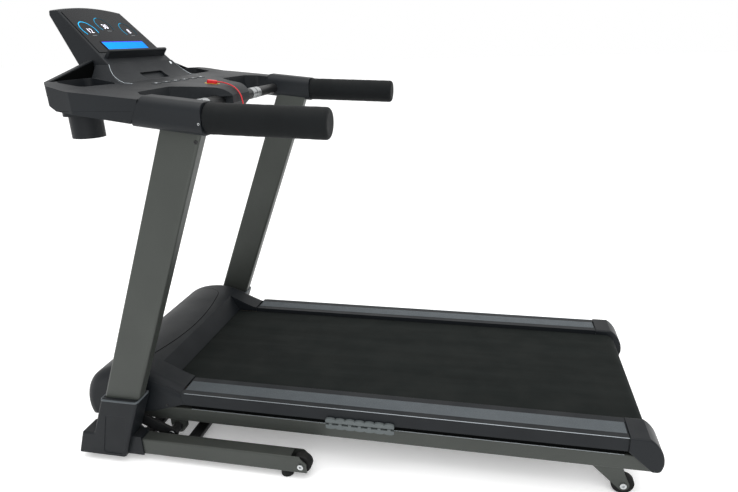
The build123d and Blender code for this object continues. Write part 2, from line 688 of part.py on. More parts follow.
with BuildPart() as console_top:
    with BuildSketch(Plane.XY.offset(SPLIT_Z)) as plan:
        Polygon(*both_sides(TRAY_OUTLINE + SEAM_TAIL + NOSE_OUTLINE), align=None)
        fillet(plan.vertices().filter_by(lambda v: abs(v.Y) > 1 and v.X < ARM_SEAM_HIGH - 1), 14)
    extrude(amount=RISER_TOP - SPLIT_Z)
    with BuildSketch(Plane.XZ):
        with BuildLine():
            Polyline(
                (NOSE_X, SPLIT_Z + 2),
                (NOSE_X, SPLIT_Z),
                *reversed(UNDERSIDE[:3]),
                (RISER_BACK - 5, RIM_Z),
                (TRAY_EDGE + 40, RIM_Z),
                (TRAY_FRONT_X, TRAY_FRONT_Z),
                (TRAY_REAR_X, TRAY_REAR_Z),
                (NOSE_TOP_X, panel_z(NOSE_TOP_X)),
            )
            TangentArc(
                (NOSE_TOP_X, panel_z(NOSE_TOP_X)),
                (NOSE_X, SPLIT_Z + 2),
                tangent=(1, -math.tan(PANEL_SLOPE)),
            )
        make_face()
    extrude(amount=TRAY_HALF + 1, both=True, mode=Mode.INTERSECT)
    with BuildSketch(Plane.XZ):
        add(riser_side())
    extrude(amount=RISER_HALF, both=True)
    for side, _ in SIDES:
        with BuildSketch(Plane.YZ.offset(TRAY_EDGE + 8)):
            Polygon(
                (side * (RISER_HALF - 1), TRAY_UNDER_Z),
                (side * (RISER_HALF - 1), RISER_TOP),
                (side * (RISER_HALF + GAP), RISER_TOP),
                (side * (RISER_HALF + GAP), RISER_TOP + WING_RISE),
                (side * (RISER_HALF + 18), RISER_TOP + WING_RISE - 4),
                (side * 0.8 * TRAY_HALF, RIM_Z),
                (side * 0.8 * TRAY_HALF, TRAY_UNDER_Z),
                align=None,
            )
        extrude(amount=WING_WALL)
        with BuildSketch(Plane.XY.offset(SPLIT_Z)):
            add(cup_plan(side, 0))
        extrude(amount=RISER_TOP - SPLIT_Z, mode=Mode.SUBTRACT)
    add(riser_flanks.part)
    add(riser_pocket.part, mode=Mode.SUBTRACT)
    add(behind_seam.part, mode=Mode.SUBTRACT)
    with BuildSketch(Plane.XZ):
        Polygon(
            (OPENING_FRONT + 20, SPLIT_Z),
            (NOSE_TOP_X - 40, NOSE_LOW_Z),
            (NOSE_X - 14, NOSE_LOW_Z),
            (NOSE_X, NOSE_LOW_Z + 14),
            (NOSE_X, SPLIT_Z),
            align=None,
        )
    extrude(amount=NOSE_HALF - 26, both=True)
    with BuildSketch(Plane.XZ):
        with Locations((BAR_X, BAR_Z)):
            Circle(BAR_R + GAP)
    extrude(amount=TRAY_HALF, both=True, mode=Mode.SUBTRACT)
    for index in range(len(BUTTON_NAMES)):
        button_y = (index - (len(BUTTON_NAMES) - 1) / 2) * BUTTON_PITCH
        pocket = Plane(origin=(BUTTON_X, button_y, panel_z(BUTTON_X)), x_dir=(0, 1, 0), z_dir=PANEL_NORMAL)
        with BuildSketch(pocket):
            RectangleRounded(BUTTON_WIDE + 2 * BUTTON_GAP, BUTTON_LONG + 2 * BUTTON_GAP, 5 + BUTTON_GAP)
        extrude(amount=-(BUTTON_DEEP + BUTTON_TRAVEL + GAP), mode=Mode.SUBTRACT)
    with BuildSketch(Plane.XY.offset(SPLIT_Z)):
        with Locations((BUTTON_X, 0)):
            Rectangle(80, 2 * RISER_HALF - 16)
    extrude(amount=TRAY_UNDER_Z - SPLIT_Z, mode=Mode.SUBTRACT)
save(console_top.part, "console_top")


# Cup wells: a trough under each opening with a round cup in its floor, below the tray's sloping underside
def cup_bodies(wall, floor, step):
    """Both cup wells, grown by a wall."""
    with BuildPart() as cups:
        for side, _ in SIDES:
            with BuildSketch(Plane.XY.offset(step)):
                add(cup_plan(side, wall))
            extrude(amount=TRAY_UNDER_Z - step)
            with BuildSketch(Plane.XY.offset(floor)):
                with Locations((CUP_X, side * CUP_Y)):
                    Circle(CUP_R + wall)
            extrude(amount=step - floor)
    return cups.part


with BuildPart() as cup_wells:
    add(cup_bodies(CUP_WALL, CUP_FLOOR, CUP_STEP - CUP_WALL))
    with BuildSketch(Plane.XZ):
        Polygon(
            (TRAY_EDGE + 8, TRAY_UNDER_Z),
            *UNDERSIDE[1:3],
            (OPENING_FRONT, SPLIT_Z),
            (OPENING_FRONT, CUP_FLOOR),
            (TRAY_EDGE + 8, CUP_FLOOR),
            align=None,
        )
    extrude(amount=TRAY_HALF, both=True, mode=Mode.INTERSECT)

# Console base: the shallow underside with the cup wells
with BuildPart() as console_base:
    with BuildSketch(Plane.XY.offset(SPLIT_Z)) as plan:
        edge = TRAY_OUTLINE + SEAM_TAIL + NOSE_OUTLINE[:1] + ((OPENING_FRONT - 14, 0),)
        Polygon(*both_sides(edge), align=None)
        fillet(plan.vertices().filter_by(lambda v: abs(v.Y) > 1 and v.X < ARM_SEAM_HIGH - 1), 14)
    extrude(amount=-50)
    with BuildSketch(Plane.XZ):
        Polygon(*UNDERSIDE[2:], (UNDERSIDE[-1][0], SPLIT_Z), align=None)
    extrude(amount=TRAY_HALF + 1, both=True, mode=Mode.INTERSECT)
    add(cup_wells.part)
    add(cup_bodies(0, CUP_FLOOR + CUP_WALL, CUP_STEP), mode=Mode.SUBTRACT)
    add(behind_seam.part, mode=Mode.SUBTRACT)
save(console_base.part, "console_base")

# Push buttons in their pockets
for index, name in enumerate(BUTTON_NAMES):
    button_y = (index - (len(BUTTON_NAMES) - 1) / 2) * BUTTON_PITCH
    seat = Plane(origin=(BUTTON_X, button_y, panel_z(BUTTON_X)), x_dir=(0, 1, 0), z_dir=PANEL_NORMAL)
    with BuildPart() as button:
        with BuildSketch(seat.offset(-BUTTON_DEEP)):
            RectangleRounded(BUTTON_WIDE, BUTTON_LONG, 5)
        extrude(amount=BUTTON_DEEP + BUTTON_PROUD)
        chamfer(button.faces().sort_by(Axis.Z)[-1].edges(), 0.6)
    save(button.part, f"{name}_button")

# Display head, its panel, screen and device ledge
FACE_PLANE = Plane(origin=HEAD_TOP, x_dir=(0, 1, 0), z_dir=FACE_NORMAL)


def head_outline(edge, long):
    """Face outline with a crowned top, set in by an edge, down to a length."""
    flare = (RISER_HALF - HEAD_TOP_HALF) / HEAD_LONG
    with BuildSketch(mode=Mode.PRIVATE) as face:
        with BuildLine():
            Polyline(
                (HEAD_TOP_HALF - edge, -edge),
                (HEAD_TOP_HALF - edge + flare * (long - edge), -long),
                (edge - HEAD_TOP_HALF - flare * (long - edge), -long),
                (edge - HEAD_TOP_HALF, -edge),
            )
            ThreePointArc(
                (edge - HEAD_TOP_HALF, -edge),
                (0, HEAD_CROWN - edge),
                (HEAD_TOP_HALF - edge, -edge),
            )
        make_face()
    return face.sketch


with BuildPart() as display_head:
    with BuildSketch(FACE_PLANE):
        add(head_outline(0, HEAD_LONG))
    extrude(amount=RISER_FACE - RISER_BACK + HEAD_LONG, dir=(-1, 0, 0))
    with BuildSketch(Plane.XZ):
        brow = face_point(-HEAD_CROWN - 1)
        Polygon(
            (brow.X, brow.Z),
            (FRONT_X, brow.Z),
            (FRONT_X, HEAD_TOP_Z - HEAD_BACK_DROP),
            (RISER_BACK, RISER_TOP),
            (RISER_FACE, RISER_TOP),
            align=None,
        )
    extrude(amount=2 * RISER_HALF, both=True, mode=Mode.INTERSECT)
    fillet(display_head.edges().filter_by(lambda e: e.center().Z > RISER_TOP + 5), HEAD_ROUND)
save(display_head.part, "display_head")

with BuildPart() as display_panel:
    with BuildSketch(FACE_PLANE):
        add(head_outline(PANEL_EDGE, PANEL_LONG))
    extrude(amount=PANEL_THICK)
save(display_panel.part, "display_panel")

with BuildPart() as lcd_screen:
    with BuildSketch(FACE_PLANE.offset(PANEL_THICK)):
        with Locations((0, -LCD_FROM_TOP - LCD_LONG / 2)):
            RectangleRounded(2 * LCD_HALF, LCD_LONG, 2)
    extrude(amount=LCD_THICK)
save(lcd_screen.part, "lcd_screen")

with BuildPart() as device_ledge:
    with BuildSketch(Plane.XZ):
        ledge_points = (
            face_point(LEDGE_FROM_TOP),
            face_point(LEDGE_FROM_TOP, LEDGE_OUT - 4),
            face_point(LEDGE_FROM_TOP - 3, LEDGE_OUT - 3),
            face_point(LEDGE_FROM_TOP - 3, LEDGE_OUT),
            face_point(LEDGE_FROM_TOP + LEDGE_THICK / 2, LEDGE_OUT),
            face_point(LEDGE_FROM_TOP + LEDGE_THICK, 0),
        )
        Polygon(*((p.X, p.Z) for p in ledge_points), align=None)
    extrude(amount=LEDGE_HALF, both=True)
    fillet(device_ledge.edges().filter_by(Axis.Y).sort_by(Axis.X)[-2:], 2)
save(device_ledge.part, "device_ledge")

# Safety key on the panel, its cord over the nose and the clip that hangs from it
KEY_SEAT = Plane(origin=(KEY_X, 0, panel_z(KEY_X)), x_dir=(1, 0, -math.tan(PANEL_SLOPE)), z_dir=PANEL_NORMAL)
with BuildPart() as safety_key:
    with BuildSketch(KEY_SEAT.offset(GAP)):
        RectangleRounded(KEY_LONG, KEY_WIDE, 6)
    extrude(amount=KEY_TALL)
    fillet(safety_key.faces().sort_by(Axis.Z)[-1].edges(), 3)
save(safety_key.part, "safety_key")

CORD_POINTS = (
    (KEY_X + KEY_LONG / 2 + 1, 0, panel_z(KEY_X) + 3.5),
    (-391, -2, TRAY_REAR_Z + 5.5),
    (-374, -5, TRAY_REAR_Z + 2),
    (-352, -9, TRAY_REAR_Z - 5),
    (-335, -13, TRAY_REAR_Z - 19),
    (-326, -16, TRAY_REAR_Z - 38),
    (-324, -18, TRAY_REAR_Z - 59),
)


def corner_radii(points):
    """Largest easy arc at each corner of a cord's route."""
    radii = []
    for before, corner, after in zip(points, points[1:], points[2:]):
        run_in = Vector(*corner) - Vector(*before)
        run_out = Vector(*after) - Vector(*corner)
        turn = math.radians(run_in.get_angle(run_out))
        radii.append(0.45 * min(run_in.length, run_out.length) / math.tan(turn / 2))
    return radii


with BuildPart() as safety_cord:
    with BuildLine() as route:
        FilletPolyline(*CORD_POINTS, radius=corner_radii(CORD_POINTS))
    with BuildSketch(Plane(origin=CORD_POINTS[0], z_dir=Vector(*CORD_POINTS[1]) - Vector(*CORD_POINTS[0]))):
        Circle(CORD_R)
    sweep(path=route.wires()[0])
save(safety_cord.part, "safety_cord")

CLIP_TOP = Vector(*CORD_POINTS[-1]) - Vector(0, 0, 2 * GAP)
with BuildPart() as safety_clip:
    with BuildSketch(Plane.XY.offset(CLIP_TOP.Z)):
        with Locations((CLIP_TOP.X, CLIP_TOP.Y)):
            RectangleRounded(CLIP_THICK, CLIP_WIDE, 2)
    extrude(amount=-CLIP_LONG)
    with BuildSketch(Plane.XZ.offset(-CLIP_TOP.Y)):
        with Locations((CLIP_TOP.X, CLIP_TOP.Z - CLIP_LONG)):
            Rectangle(CLIP_THICK / 3, 1.2 * CLIP_LONG)
    extrude(amount=CLIP_WIDE, both=True, mode=Mode.SUBTRACT)
save(safety_clip.part, "safety_clip")

# Deck side tubes with their deck brackets, roller plates and lift lugs
BRACKET_INNER = BOARD_HALF + 10
POST_TOP = RAIL_TOP - RAIL_WALL - RAIL_FALL
for side, side_name in SIDES:
    with BuildPart() as deck_tube:
        with BuildSketch(Plane.YZ.offset(TUBE_FRONT)):
            with Locations((side * (TUBE_INNER + TUBE_OUTER) / 2, (TUBE_LOW + TUBE_HIGH) / 2)):
                RectangleRounded(TUBE_OUTER - TUBE_INNER, TUBE_HIGH - TUBE_LOW, 4)
                Rectangle(
                    TUBE_OUTER - TUBE_INNER - 2 * TUBE_WALL,
                    TUBE_HIGH - TUBE_LOW - 2 * TUBE_WALL,
                    mode=Mode.SUBTRACT,
                )
        extrude(amount=TUBE_REAR - TUBE_FRONT)
        for bracket_x in BRACKET_XS:
            with BuildSketch(Plane.YZ.offset(bracket_x - BRACKET_LONG / 2)):
                Polygon(
                    (side * (CUSHION_Y - CUSHION_R - 1), SEAT_Z - SEAT_THICK),
                    (side * BRACKET_INNER, SEAT_Z - SEAT_THICK),
                    (side * BRACKET_INNER, TUBE_HIGH),
                    (side * (TUBE_OUTER - 4), TUBE_HIGH),
                    (side * (TUBE_OUTER - 4), POST_TOP),
                    (side * (BRACKET_INNER + 4), POST_TOP),
                    (side * (BRACKET_INNER + 4), SEAT_Z),
                    (side * (CUSHION_Y - CUSHION_R - 1), SEAT_Z),
                    align=None,
                )
            extrude(amount=BRACKET_LONG)
        for roller_x in (FRONT_ROLLER_X, REAR_ROLLER_X):
            with BuildSketch(side_plane(side, TUBE_INNER, TUBE_INNER + 6)):
                with Locations((roller_x, ROLLER_Z)):
                    Circle(2 * AXLE_R)
                with Locations((roller_x, TUBE_HIGH - 6)):
                    Rectangle(4 * AXLE_R, ROLLER_Z - TUBE_HIGH + 6, align=(Align.CENTER, Align.MIN))
                with Locations((roller_x, ROLLER_Z)):
                    Circle(AXLE_R + RUN, mode=Mode.SUBTRACT)
            extrude(amount=6)
        with BuildSketch(side_plane(side, LUG_INNER, LUG_OUTER)):
            with Locations((LIFT_X, LIFT_Z)):
                Circle(LUG_R)
                Rectangle(2 * LUG_R, TUBE_LOW - LIFT_Z, align=(Align.CENTER, Align.MIN))
                Circle(LIFT_TUBE_R + RUN, mode=Mode.SUBTRACT)
        extrude(amount=LUG_OUTER - LUG_INNER)
    save(deck_tube.part, f"deck_tube_{side_name}")

# Deck cross members, the motor plate and the ears that carry the incline motor
with BuildPart() as deck_cross_members:
    for cross_x in CROSS_XS:
        with BuildSketch(Plane.XZ):
            with Locations((cross_x, (CROSS_LOW + CROSS_HIGH) / 2)):
                Rectangle(CROSS_LONG, CROSS_HIGH - CROSS_LOW)
                Rectangle(
                    CROSS_LONG - 2 * TUBE_WALL,
                    CROSS_HIGH - CROSS_LOW - 2 * TUBE_WALL,
                    mode=Mode.SUBTRACT,
                )
        extrude(amount=TUBE_INNER, both=True)
    with BuildSketch(Plane.XY.offset(MOTOR_PLATE_HIGH - MOTOR_PLATE_THICK)):
        with Locations(((MOTOR_PLATE_FRONT + MOTOR_PLATE_REAR) / 2, 0)):
            Rectangle(MOTOR_PLATE_REAR - MOTOR_PLATE_FRONT, 2 * TUBE_INNER)
    extrude(amount=MOTOR_PLATE_THICK)
    for side, _ in SIDES:
        with BuildSketch(side_plane(side, ACTUATOR_R + 2, ACTUATOR_R + TRUNNION_LONG)):
            with Locations((ACTUATOR_X, ACTUATOR_Z)):
                Circle(2.5 * TRUNNION_R)
                Rectangle(
                    5 * TRUNNION_R,
                    MOTOR_PLATE_HIGH - MOTOR_PLATE_THICK - ACTUATOR_Z,
                    align=(Align.CENTER, Align.MIN),
                )
                Circle(TRUNNION_R + RUN, mode=Mode.SUBTRACT)
        extrude(amount=TRUNNION_LONG - 2)
save(deck_cross_members.part, "deck_cross_members")

# Rubber cushions, deck board and running belt
with BuildPart() as deck_cushions:
    for side, _ in SIDES:
        with BuildSketch(Plane.XY.offset(SEAT_Z)):
            with Locations(*((x, side * CUSHION_Y) for x in BRACKET_XS)):
                Circle(CUSHION_R)
        extrude(amount=BOARD_LOW - SEAT_Z)
save(deck_cushions.part, "deck_cushions")

with BuildPart() as deck_board:
    with BuildSketch(Plane.XY.offset(BOARD_LOW)):
        with Locations(((BOARD_FRONT + BOARD_REAR) / 2, 0)):
            RectangleRounded(BOARD_REAR - BOARD_FRONT, 2 * BOARD_HALF, 6)
    extrude(amount=BOARD_THICK)
save(deck_board.part, "deck_board")

with BuildPart() as running_belt:
    with BuildSketch(Plane.XZ):
        with Locations(((FRONT_ROLLER_X + REAR_ROLLER_X) / 2, ROLLER_Z)):
            SlotCenterToCenter(REAR_ROLLER_X - FRONT_ROLLER_X, 2 * (BELT_INNER_R + BELT_THICK))
            SlotCenterToCenter(REAR_ROLLER_X - FRONT_ROLLER_X, 2 * BELT_INNER_R, mode=Mode.SUBTRACT)
    extrude(amount=BELT_HALF, both=True)
save(running_belt.part, "running_belt")

# Rollers on fixed axles; the front one carries the driven pulley
with BuildPart() as front_roller:
    with BuildSketch(Plane.XZ):
        with Locations((FRONT_ROLLER_X, ROLLER_Z)):
            Circle(ROLLER_R)
    extrude(amount=BELT_HALF - 1, both=True)
    with BuildSketch(Plane.XZ.offset(BELT_HALF - 1)):
        with Locations((FRONT_ROLLER_X, ROLLER_Z)):
            Circle(ROLLER_PULLEY_R / 2)
    extrude(amount=-PULLEY_Y - BELT_HALF + 1)
    with BuildSketch(Plane.XZ.offset(-PULLEY_Y - PULLEY_WIDE / 2)):
        with Locations((FRONT_ROLLER_X, ROLLER_Z)):
            Circle(ROLLER_PULLEY_R)
    extrude(amount=PULLEY_WIDE)
    with BuildSketch(Plane.XZ):
        with Locations((FRONT_ROLLER_X, ROLLER_Z)):
            Circle(AXLE_R + RUN)
    extrude(amount=TUBE_INNER, both=True, mode=Mode.SUBTRACT)
save(front_roller.part, "front_roller")

with BuildPart() as rear_roller:
    with BuildSketch(Plane.XZ):
        with Locations((REAR_ROLLER_X, ROLLER_Z)):
            Circle(ROLLER_R)
            Circle(AXLE_R + RUN, mode=Mode.SUBTRACT)
    extrude(amount=BELT_HALF - 1, both=True)
save(rear_roller.part, "rear_roller")

with BuildPart() as roller_axles:
    with BuildSketch(Plane.XZ):
        with Locations((FRONT_ROLLER_X, ROLLER_Z), (REAR_ROLLER_X, ROLLER_Z)):
            Circle(AXLE_R)
    extrude(amount=TUBE_INNER + 6, both=True)
save(roller_axles.part, "roller_axles")


# Side rails with a recess for the ribbed foot strips
def rail_z(y):
    """Top of a rail, falling slightly outwards."""
    return RAIL_TOP - RAIL_FALL * (y - RAIL_INNER) / (RAIL_OUTER - RAIL_INNER)


for side, side_name in SIDES:
    with BuildPart() as rail:
        with BuildSketch(Plane.YZ.offset(RAIL_FRONT)) as section:
            Polygon(
                (side * RAIL_OUTER, RAIL_BOTTOM),
                (side * RAIL_OUTER, rail_z(RAIL_OUTER)),
                (side * RAIL_INNER, RAIL_TOP),
                (side * RAIL_INNER, BOARD_TOP),
                (side * (RAIL_INNER + RAIL_WALL), BOARD_TOP),
                (side * (RAIL_INNER + RAIL_WALL), RAIL_TOP - RAIL_WALL),
                (side * (RAIL_OUTER - RAIL_WALL), rail_z(RAIL_OUTER) - RAIL_WALL),
                (side * (RAIL_OUTER - RAIL_WALL), RAIL_BOTTOM),
                align=None,
            )
            fillet(section.vertices().filter_by(lambda v: v.Z > rail_z(RAIL_OUTER) - 0.1), 3)
            Polygon(
                (side * (STRIP_INNER - GAP), rail_z(STRIP_INNER - GAP) - STRIP_DEPTH),
                (side * (STRIP_OUTER + GAP), rail_z(STRIP_OUTER + GAP) - STRIP_DEPTH),
                (side * (STRIP_OUTER + GAP), RAIL_TOP + 1),
                (side * (STRIP_INNER - GAP), RAIL_TOP + 1),
                align=None,
                mode=Mode.SUBTRACT,
            )
        extrude(amount=CAP_SEAM - GAP - RAIL_FRONT)
    save(rail.part, f"side_rail_{side_name}")

with BuildPart() as rail_strips:
    for side, _ in SIDES:
        with BuildSketch(Plane.YZ.offset(RAIL_FRONT + 4)):
            Polygon(
                (side * STRIP_INNER, rail_z(STRIP_INNER) - STRIP_DEPTH),
                (side * STRIP_OUTER, rail_z(STRIP_OUTER) - STRIP_DEPTH),
                (side * STRIP_OUTER, rail_z(STRIP_OUTER) + STRIP_PROUD),
                (side * STRIP_INNER, rail_z(STRIP_INNER) + STRIP_PROUD),
                align=None,
            )
            for groove in range(STRIP_GROOVES):
                groove_y = STRIP_INNER + (groove + 0.5) * (STRIP_OUTER - STRIP_INNER) / STRIP_GROOVES
                with Locations((side * groove_y, rail_z(groove_y) + STRIP_PROUD)):
                    Rectangle(2, 1.4, mode=Mode.SUBTRACT)
        extrude(amount=CAP_SEAM - RAIL_FRONT - 8)
save(rail_strips.part, "rail_strips")

# Rear caps: hooked covers over the rail ends, open below
CAP_INNER = RAIL_INNER - 1.5
CAP_OUTER = RAIL_OUTER + 4.5
CAP_TOP = RAIL_TOP + 2
CAP_LOW = 107.0
CAP_TURN = REAR_X - 39
CAP_WALL = 3.0


def cap_outline(wall, low):
    """Side view of a rear cap set in by a wall."""
    with BuildSketch(mode=Mode.PRIVATE) as view:
        with BuildLine():
            Polyline(
                (REAR_X - wall, CAP_LOW + 18),
                (REAR_X - 4 - wall, CAP_LOW + 4),
                (REAR_X - 14 - wall, low),
                (CAP_TURN + 10, low),
                (CAP_SEAM, RAIL_BOTTOM - 1 + low - CAP_LOW),
                (CAP_SEAM, CAP_TOP - wall),
                (CAP_TURN - wall, CAP_TOP - wall),
            )
            ThreePointArc(
                (CAP_TURN - wall, CAP_TOP - wall),
                (REAR_X - 14 - wall, (CAP_TOP + CAP_LOW) / 2 + 22 - wall / 2),
                (REAR_X - wall, CAP_LOW + 18),
            )
        make_face()
    return view.sketch


with BuildPart() as rear_caps:
    for side, _ in SIDES:
        with BuildSketch(side_plane(side, CAP_INNER, CAP_OUTER)):
            add(cap_outline(0, CAP_LOW))
        extrude(amount=CAP_OUTER - CAP_INNER)
    outer_edges = rear_caps.edges().filter_by(lambda e: abs(e.tangent_at(0.5).Y) < 0.1)
    fillet(outer_edges.filter_by(lambda e: e.center().X > CAP_SEAM + 10 and e.center().Z > CAP_LOW + 8), 5)
    for side, _ in SIDES:
        with BuildSketch(side_plane(side, CAP_INNER + CAP_WALL, CAP_OUTER - CAP_WALL)):
            add(cap_outline(CAP_WALL + 2, CAP_LOW - 60))
        extrude(amount=CAP_OUTER - CAP_INNER - 2 * CAP_WALL, mode=Mode.SUBTRACT)
        with BuildSketch(side_plane(side, CAP_INNER, CAP_INNER + CAP_WALL)):
            with Locations((REAR_ROLLER_X, ROLLER_Z)):
                Circle(AXLE_R + GAP)
                Rectangle(2 * (AXLE_R + GAP), ROLLER_Z - CAP_LOW, align=(Align.CENTER, Align.MAX))
        extrude(amount=CAP_WALL, mode=Mode.SUBTRACT)
save(rear_caps.part, "rear_caps")

# Rear wheels in forks under the deck tubes, each with two three-cornered cheeks
FORK_END_R = 15.0
FORK_AHEAD = 80.0
FORK_BEHIND = -10.0
FORK_FRONT = WHEEL_X - FORK_AHEAD
FORK_BACK = WHEEL_X + FORK_BEHIND
FORK_REACH = WHEEL_WIDE / 2 + FORK_GAP + FORK_WALL
with BuildPart() as rear_wheel_forks:
    for side, _ in SIDES:
        with BuildSketch(Plane.XY.offset(TUBE_LOW - FORK_WALL)):
            with Locations(((FORK_FRONT + FORK_BACK) / 2, side * WHEEL_Y)):
                Rectangle(FORK_BACK - FORK_FRONT, 2 * FORK_REACH)
        extrude(amount=FORK_WALL)
        for inner in (WHEEL_Y - FORK_REACH, WHEEL_Y + FORK_REACH - FORK_WALL):
            with BuildSketch(side_plane(side, inner, inner + FORK_WALL)):
                with Locations((WHEEL_X, WHEEL_R)):
                    Circle(FORK_END_R)
                with Locations(((FORK_FRONT + FORK_BACK) / 2, TUBE_LOW)):
                    Rectangle(FORK_BACK - FORK_FRONT, FORK_WALL, align=(Align.CENTER, Align.MAX))
                make_hull()
                with Locations((WHEEL_X, WHEEL_R)):
                    Circle(WHEEL_BOLT_R + RUN, mode=Mode.SUBTRACT)
            extrude(amount=FORK_WALL)
save(rear_wheel_forks.part, "rear_wheel_forks")

for side, side_name in SIDES:
    with BuildPart() as rear_wheel:
        with BuildSketch(side_plane(side, WHEEL_Y - WHEEL_WIDE / 2, WHEEL_Y + WHEEL_WIDE / 2)):
            with Locations((WHEEL_X, WHEEL_R)):
                Circle(WHEEL_R)
                Circle(WHEEL_BOLT_R + RUN, mode=Mode.SUBTRACT)
        extrude(amount=WHEEL_WIDE)
        rims = rear_wheel.edges().filter_by(GeomType.CIRCLE)
        fillet(rims.filter_by(lambda e: e.radius > WHEEL_R - 1), 3)
    save(rear_wheel.part, f"rear_wheel_{side_name}")

with BuildPart() as wheel_bolts:
    for side, _ in SIDES:
        with BuildSketch(side_plane(side, WHEEL_Y - FORK_REACH, WHEEL_Y + FORK_REACH)):
            with Locations((WHEEL_X, WHEEL_R)):
                Circle(WHEEL_BOLT_R)
        extrude(amount=2 * FORK_REACH)
        for inner in (WHEEL_Y - FORK_REACH - 4, WHEEL_Y + FORK_REACH):
            with BuildSketch(side_plane(side, inner, inner + 4)):
                with Locations((WHEEL_X, WHEEL_R)):
                    Circle(2 * WHEEL_BOLT_R)
                    if inner > WHEEL_Y:
                        RegularPolygon(WHEEL_BOLT_R, 6, mode=Mode.SUBTRACT)
            extrude(amount=4)
save(wheel_bolts.part, "wheel_bolts")

# Grey cushion strips on the flanks, with two rows of bumps
with BuildPart() as cushion_strips:
    for side, _ in SIDES:
        face_in = RAIL_OUTER + GAP
        with BuildSketch(side_plane(side, face_in, face_in + FLANK_THICK)):
            with Locations(((FLANK_FRONT + FLANK_REAR) / 2, (FLANK_LOW + FLANK_HIGH) / 2)):
                RectangleRounded(FLANK_REAR - FLANK_FRONT, FLANK_HIGH - FLANK_LOW, 9)
        extrude(amount=FLANK_THICK)
        with BuildSketch(side_plane(side, TUBE_OUTER - 16, face_in)):
            with Locations(((FLANK_FRONT + FLANK_REAR) / 2, TUBE_HIGH)):
                Rectangle(
                    FLANK_REAR - FLANK_FRONT - 50,
                    RAIL_BOTTOM - TUBE_HIGH - 6,
                    align=(Align.CENTER, Align.MIN),
                )
        extrude(amount=face_in - TUBE_OUTER + 16)
        bump_pitch = (FLANK_REAR - FLANK_FRONT) / BUMP_COUNT
        bump_low = face_in + FLANK_THICK
        plane = Plane.XZ.offset(bump_low) if side < 0 else Plane.XZ.offset(-bump_low)
        with BuildSketch(plane):
            with Locations(((FLANK_FRONT + FLANK_REAR) / 2, (FLANK_LOW + FLANK_HIGH) / 2)):
                with GridLocations(bump_pitch, (FLANK_HIGH - FLANK_LOW) / 2, BUMP_COUNT, 2):
                    Circle(BUMP_R - 1.5)
        extrude(amount=-side * BUMP_PROUD, taper=30)
save(cushion_strips.part, "cushion_strips")

# Motor hood: a humped cover with a leaning mouth over the belt
HOOD_LONG = HOOD_REAR - FRONT_X
HOOD_NOSE_Z = 130.0
# Share of the length from the rear, and rise over the rails
HOOD_CREST = ((0, 3), (0.176, 25), (0.32, 45), (0.449, 55), (0.593, 55), (0.753, 44))


def hood_outline(wall):
    """Side view of the hood set in by a wall."""
    with BuildSketch(mode=Mode.PRIVATE) as view:
        with BuildLine():
            Spline(
                *((HOOD_REAR - share * HOOD_LONG, RAIL_TOP + rise - wall) for share, rise in HOOD_CREST),
                (HOOD_REAR - 0.9 * HOOD_LONG + wall / 2, RAIL_TOP + 16 - wall / 2),
                (FRONT_X + 4 + wall, RAIL_TOP - 36),
                (FRONT_X + wall, HOOD_NOSE_Z),
            )
            Polyline(
                (FRONT_X + wall, HOOD_NOSE_Z),
                (FRONT_X + 6 + wall, HOOD_NOSE_Z - 26 - wall),
                (FRONT_X + 18 + wall, HOOD_NOSE_Z - 35 - wall),
                (HOOD_REAR - 90, HOOD_NOSE_Z - 2 - wall),
                (HOOD_REAR, RAIL_BOTTOM - wall),
                (HOOD_REAR, RAIL_TOP + HOOD_CREST[0][1] - wall),
            )
        make_face()
    return view.sketch


with BuildPart() as hood_inside:
    with BuildSketch(Plane.XZ):
        add(hood_outline(HOOD_WALL))
    extrude(amount=RAIL_OUTER - HOOD_WALL, both=True)
    crest = hood_inside.edges().filter_by(lambda e: e.geom_type == GeomType.BSPLINE)
    fillet(crest, HOOD_ROUND - HOOD_WALL)
    with BuildSketch(Plane.XZ):
        Polygon(
            (MOUTH_X - HOOD_WALL, BELT_TOP + 1.2),
            (MOUTH_X - HOOD_WALL - MOUTH_LEAN, BELT_TOP + MOUTH_HIGH),
            (HOOD_REAR + MOUTH_BEHIND, BELT_TOP + MOUTH_HIGH),
            (HOOD_REAR + MOUTH_BEHIND, BELT_TOP + 1.2),
            align=None,
        )
    extrude(amount=MOUTH_HALF + HOOD_WALL, both=True, mode=Mode.SUBTRACT)

with BuildPart() as motor_hood:
    with BuildSketch(Plane.XZ):
        add(hood_outline(0))
    extrude(amount=RAIL_OUTER, both=True)
    crest = motor_hood.edges().filter_by(lambda e: e.geom_type == GeomType.BSPLINE)
    fillet(crest, HOOD_ROUND)
    with BuildSketch(Plane.XZ):
        Polygon(
            (MOUTH_X, 0),
            (MOUTH_X, BELT_TOP + 0.7),
            (MOUTH_X - MOUTH_LEAN, BELT_TOP + MOUTH_HIGH),
            (HOOD_REAR + MOUTH_BEHIND, BELT_TOP + MOUTH_HIGH),
            (HOOD_REAR + MOUTH_BEHIND, 0),
            align=None,
        )
    extrude(amount=MOUTH_HALF, both=True, mode=Mode.SUBTRACT)
    add(hood_inside.part, mode=Mode.SUBTRACT)
save(motor_hood.part, "motor_hood")

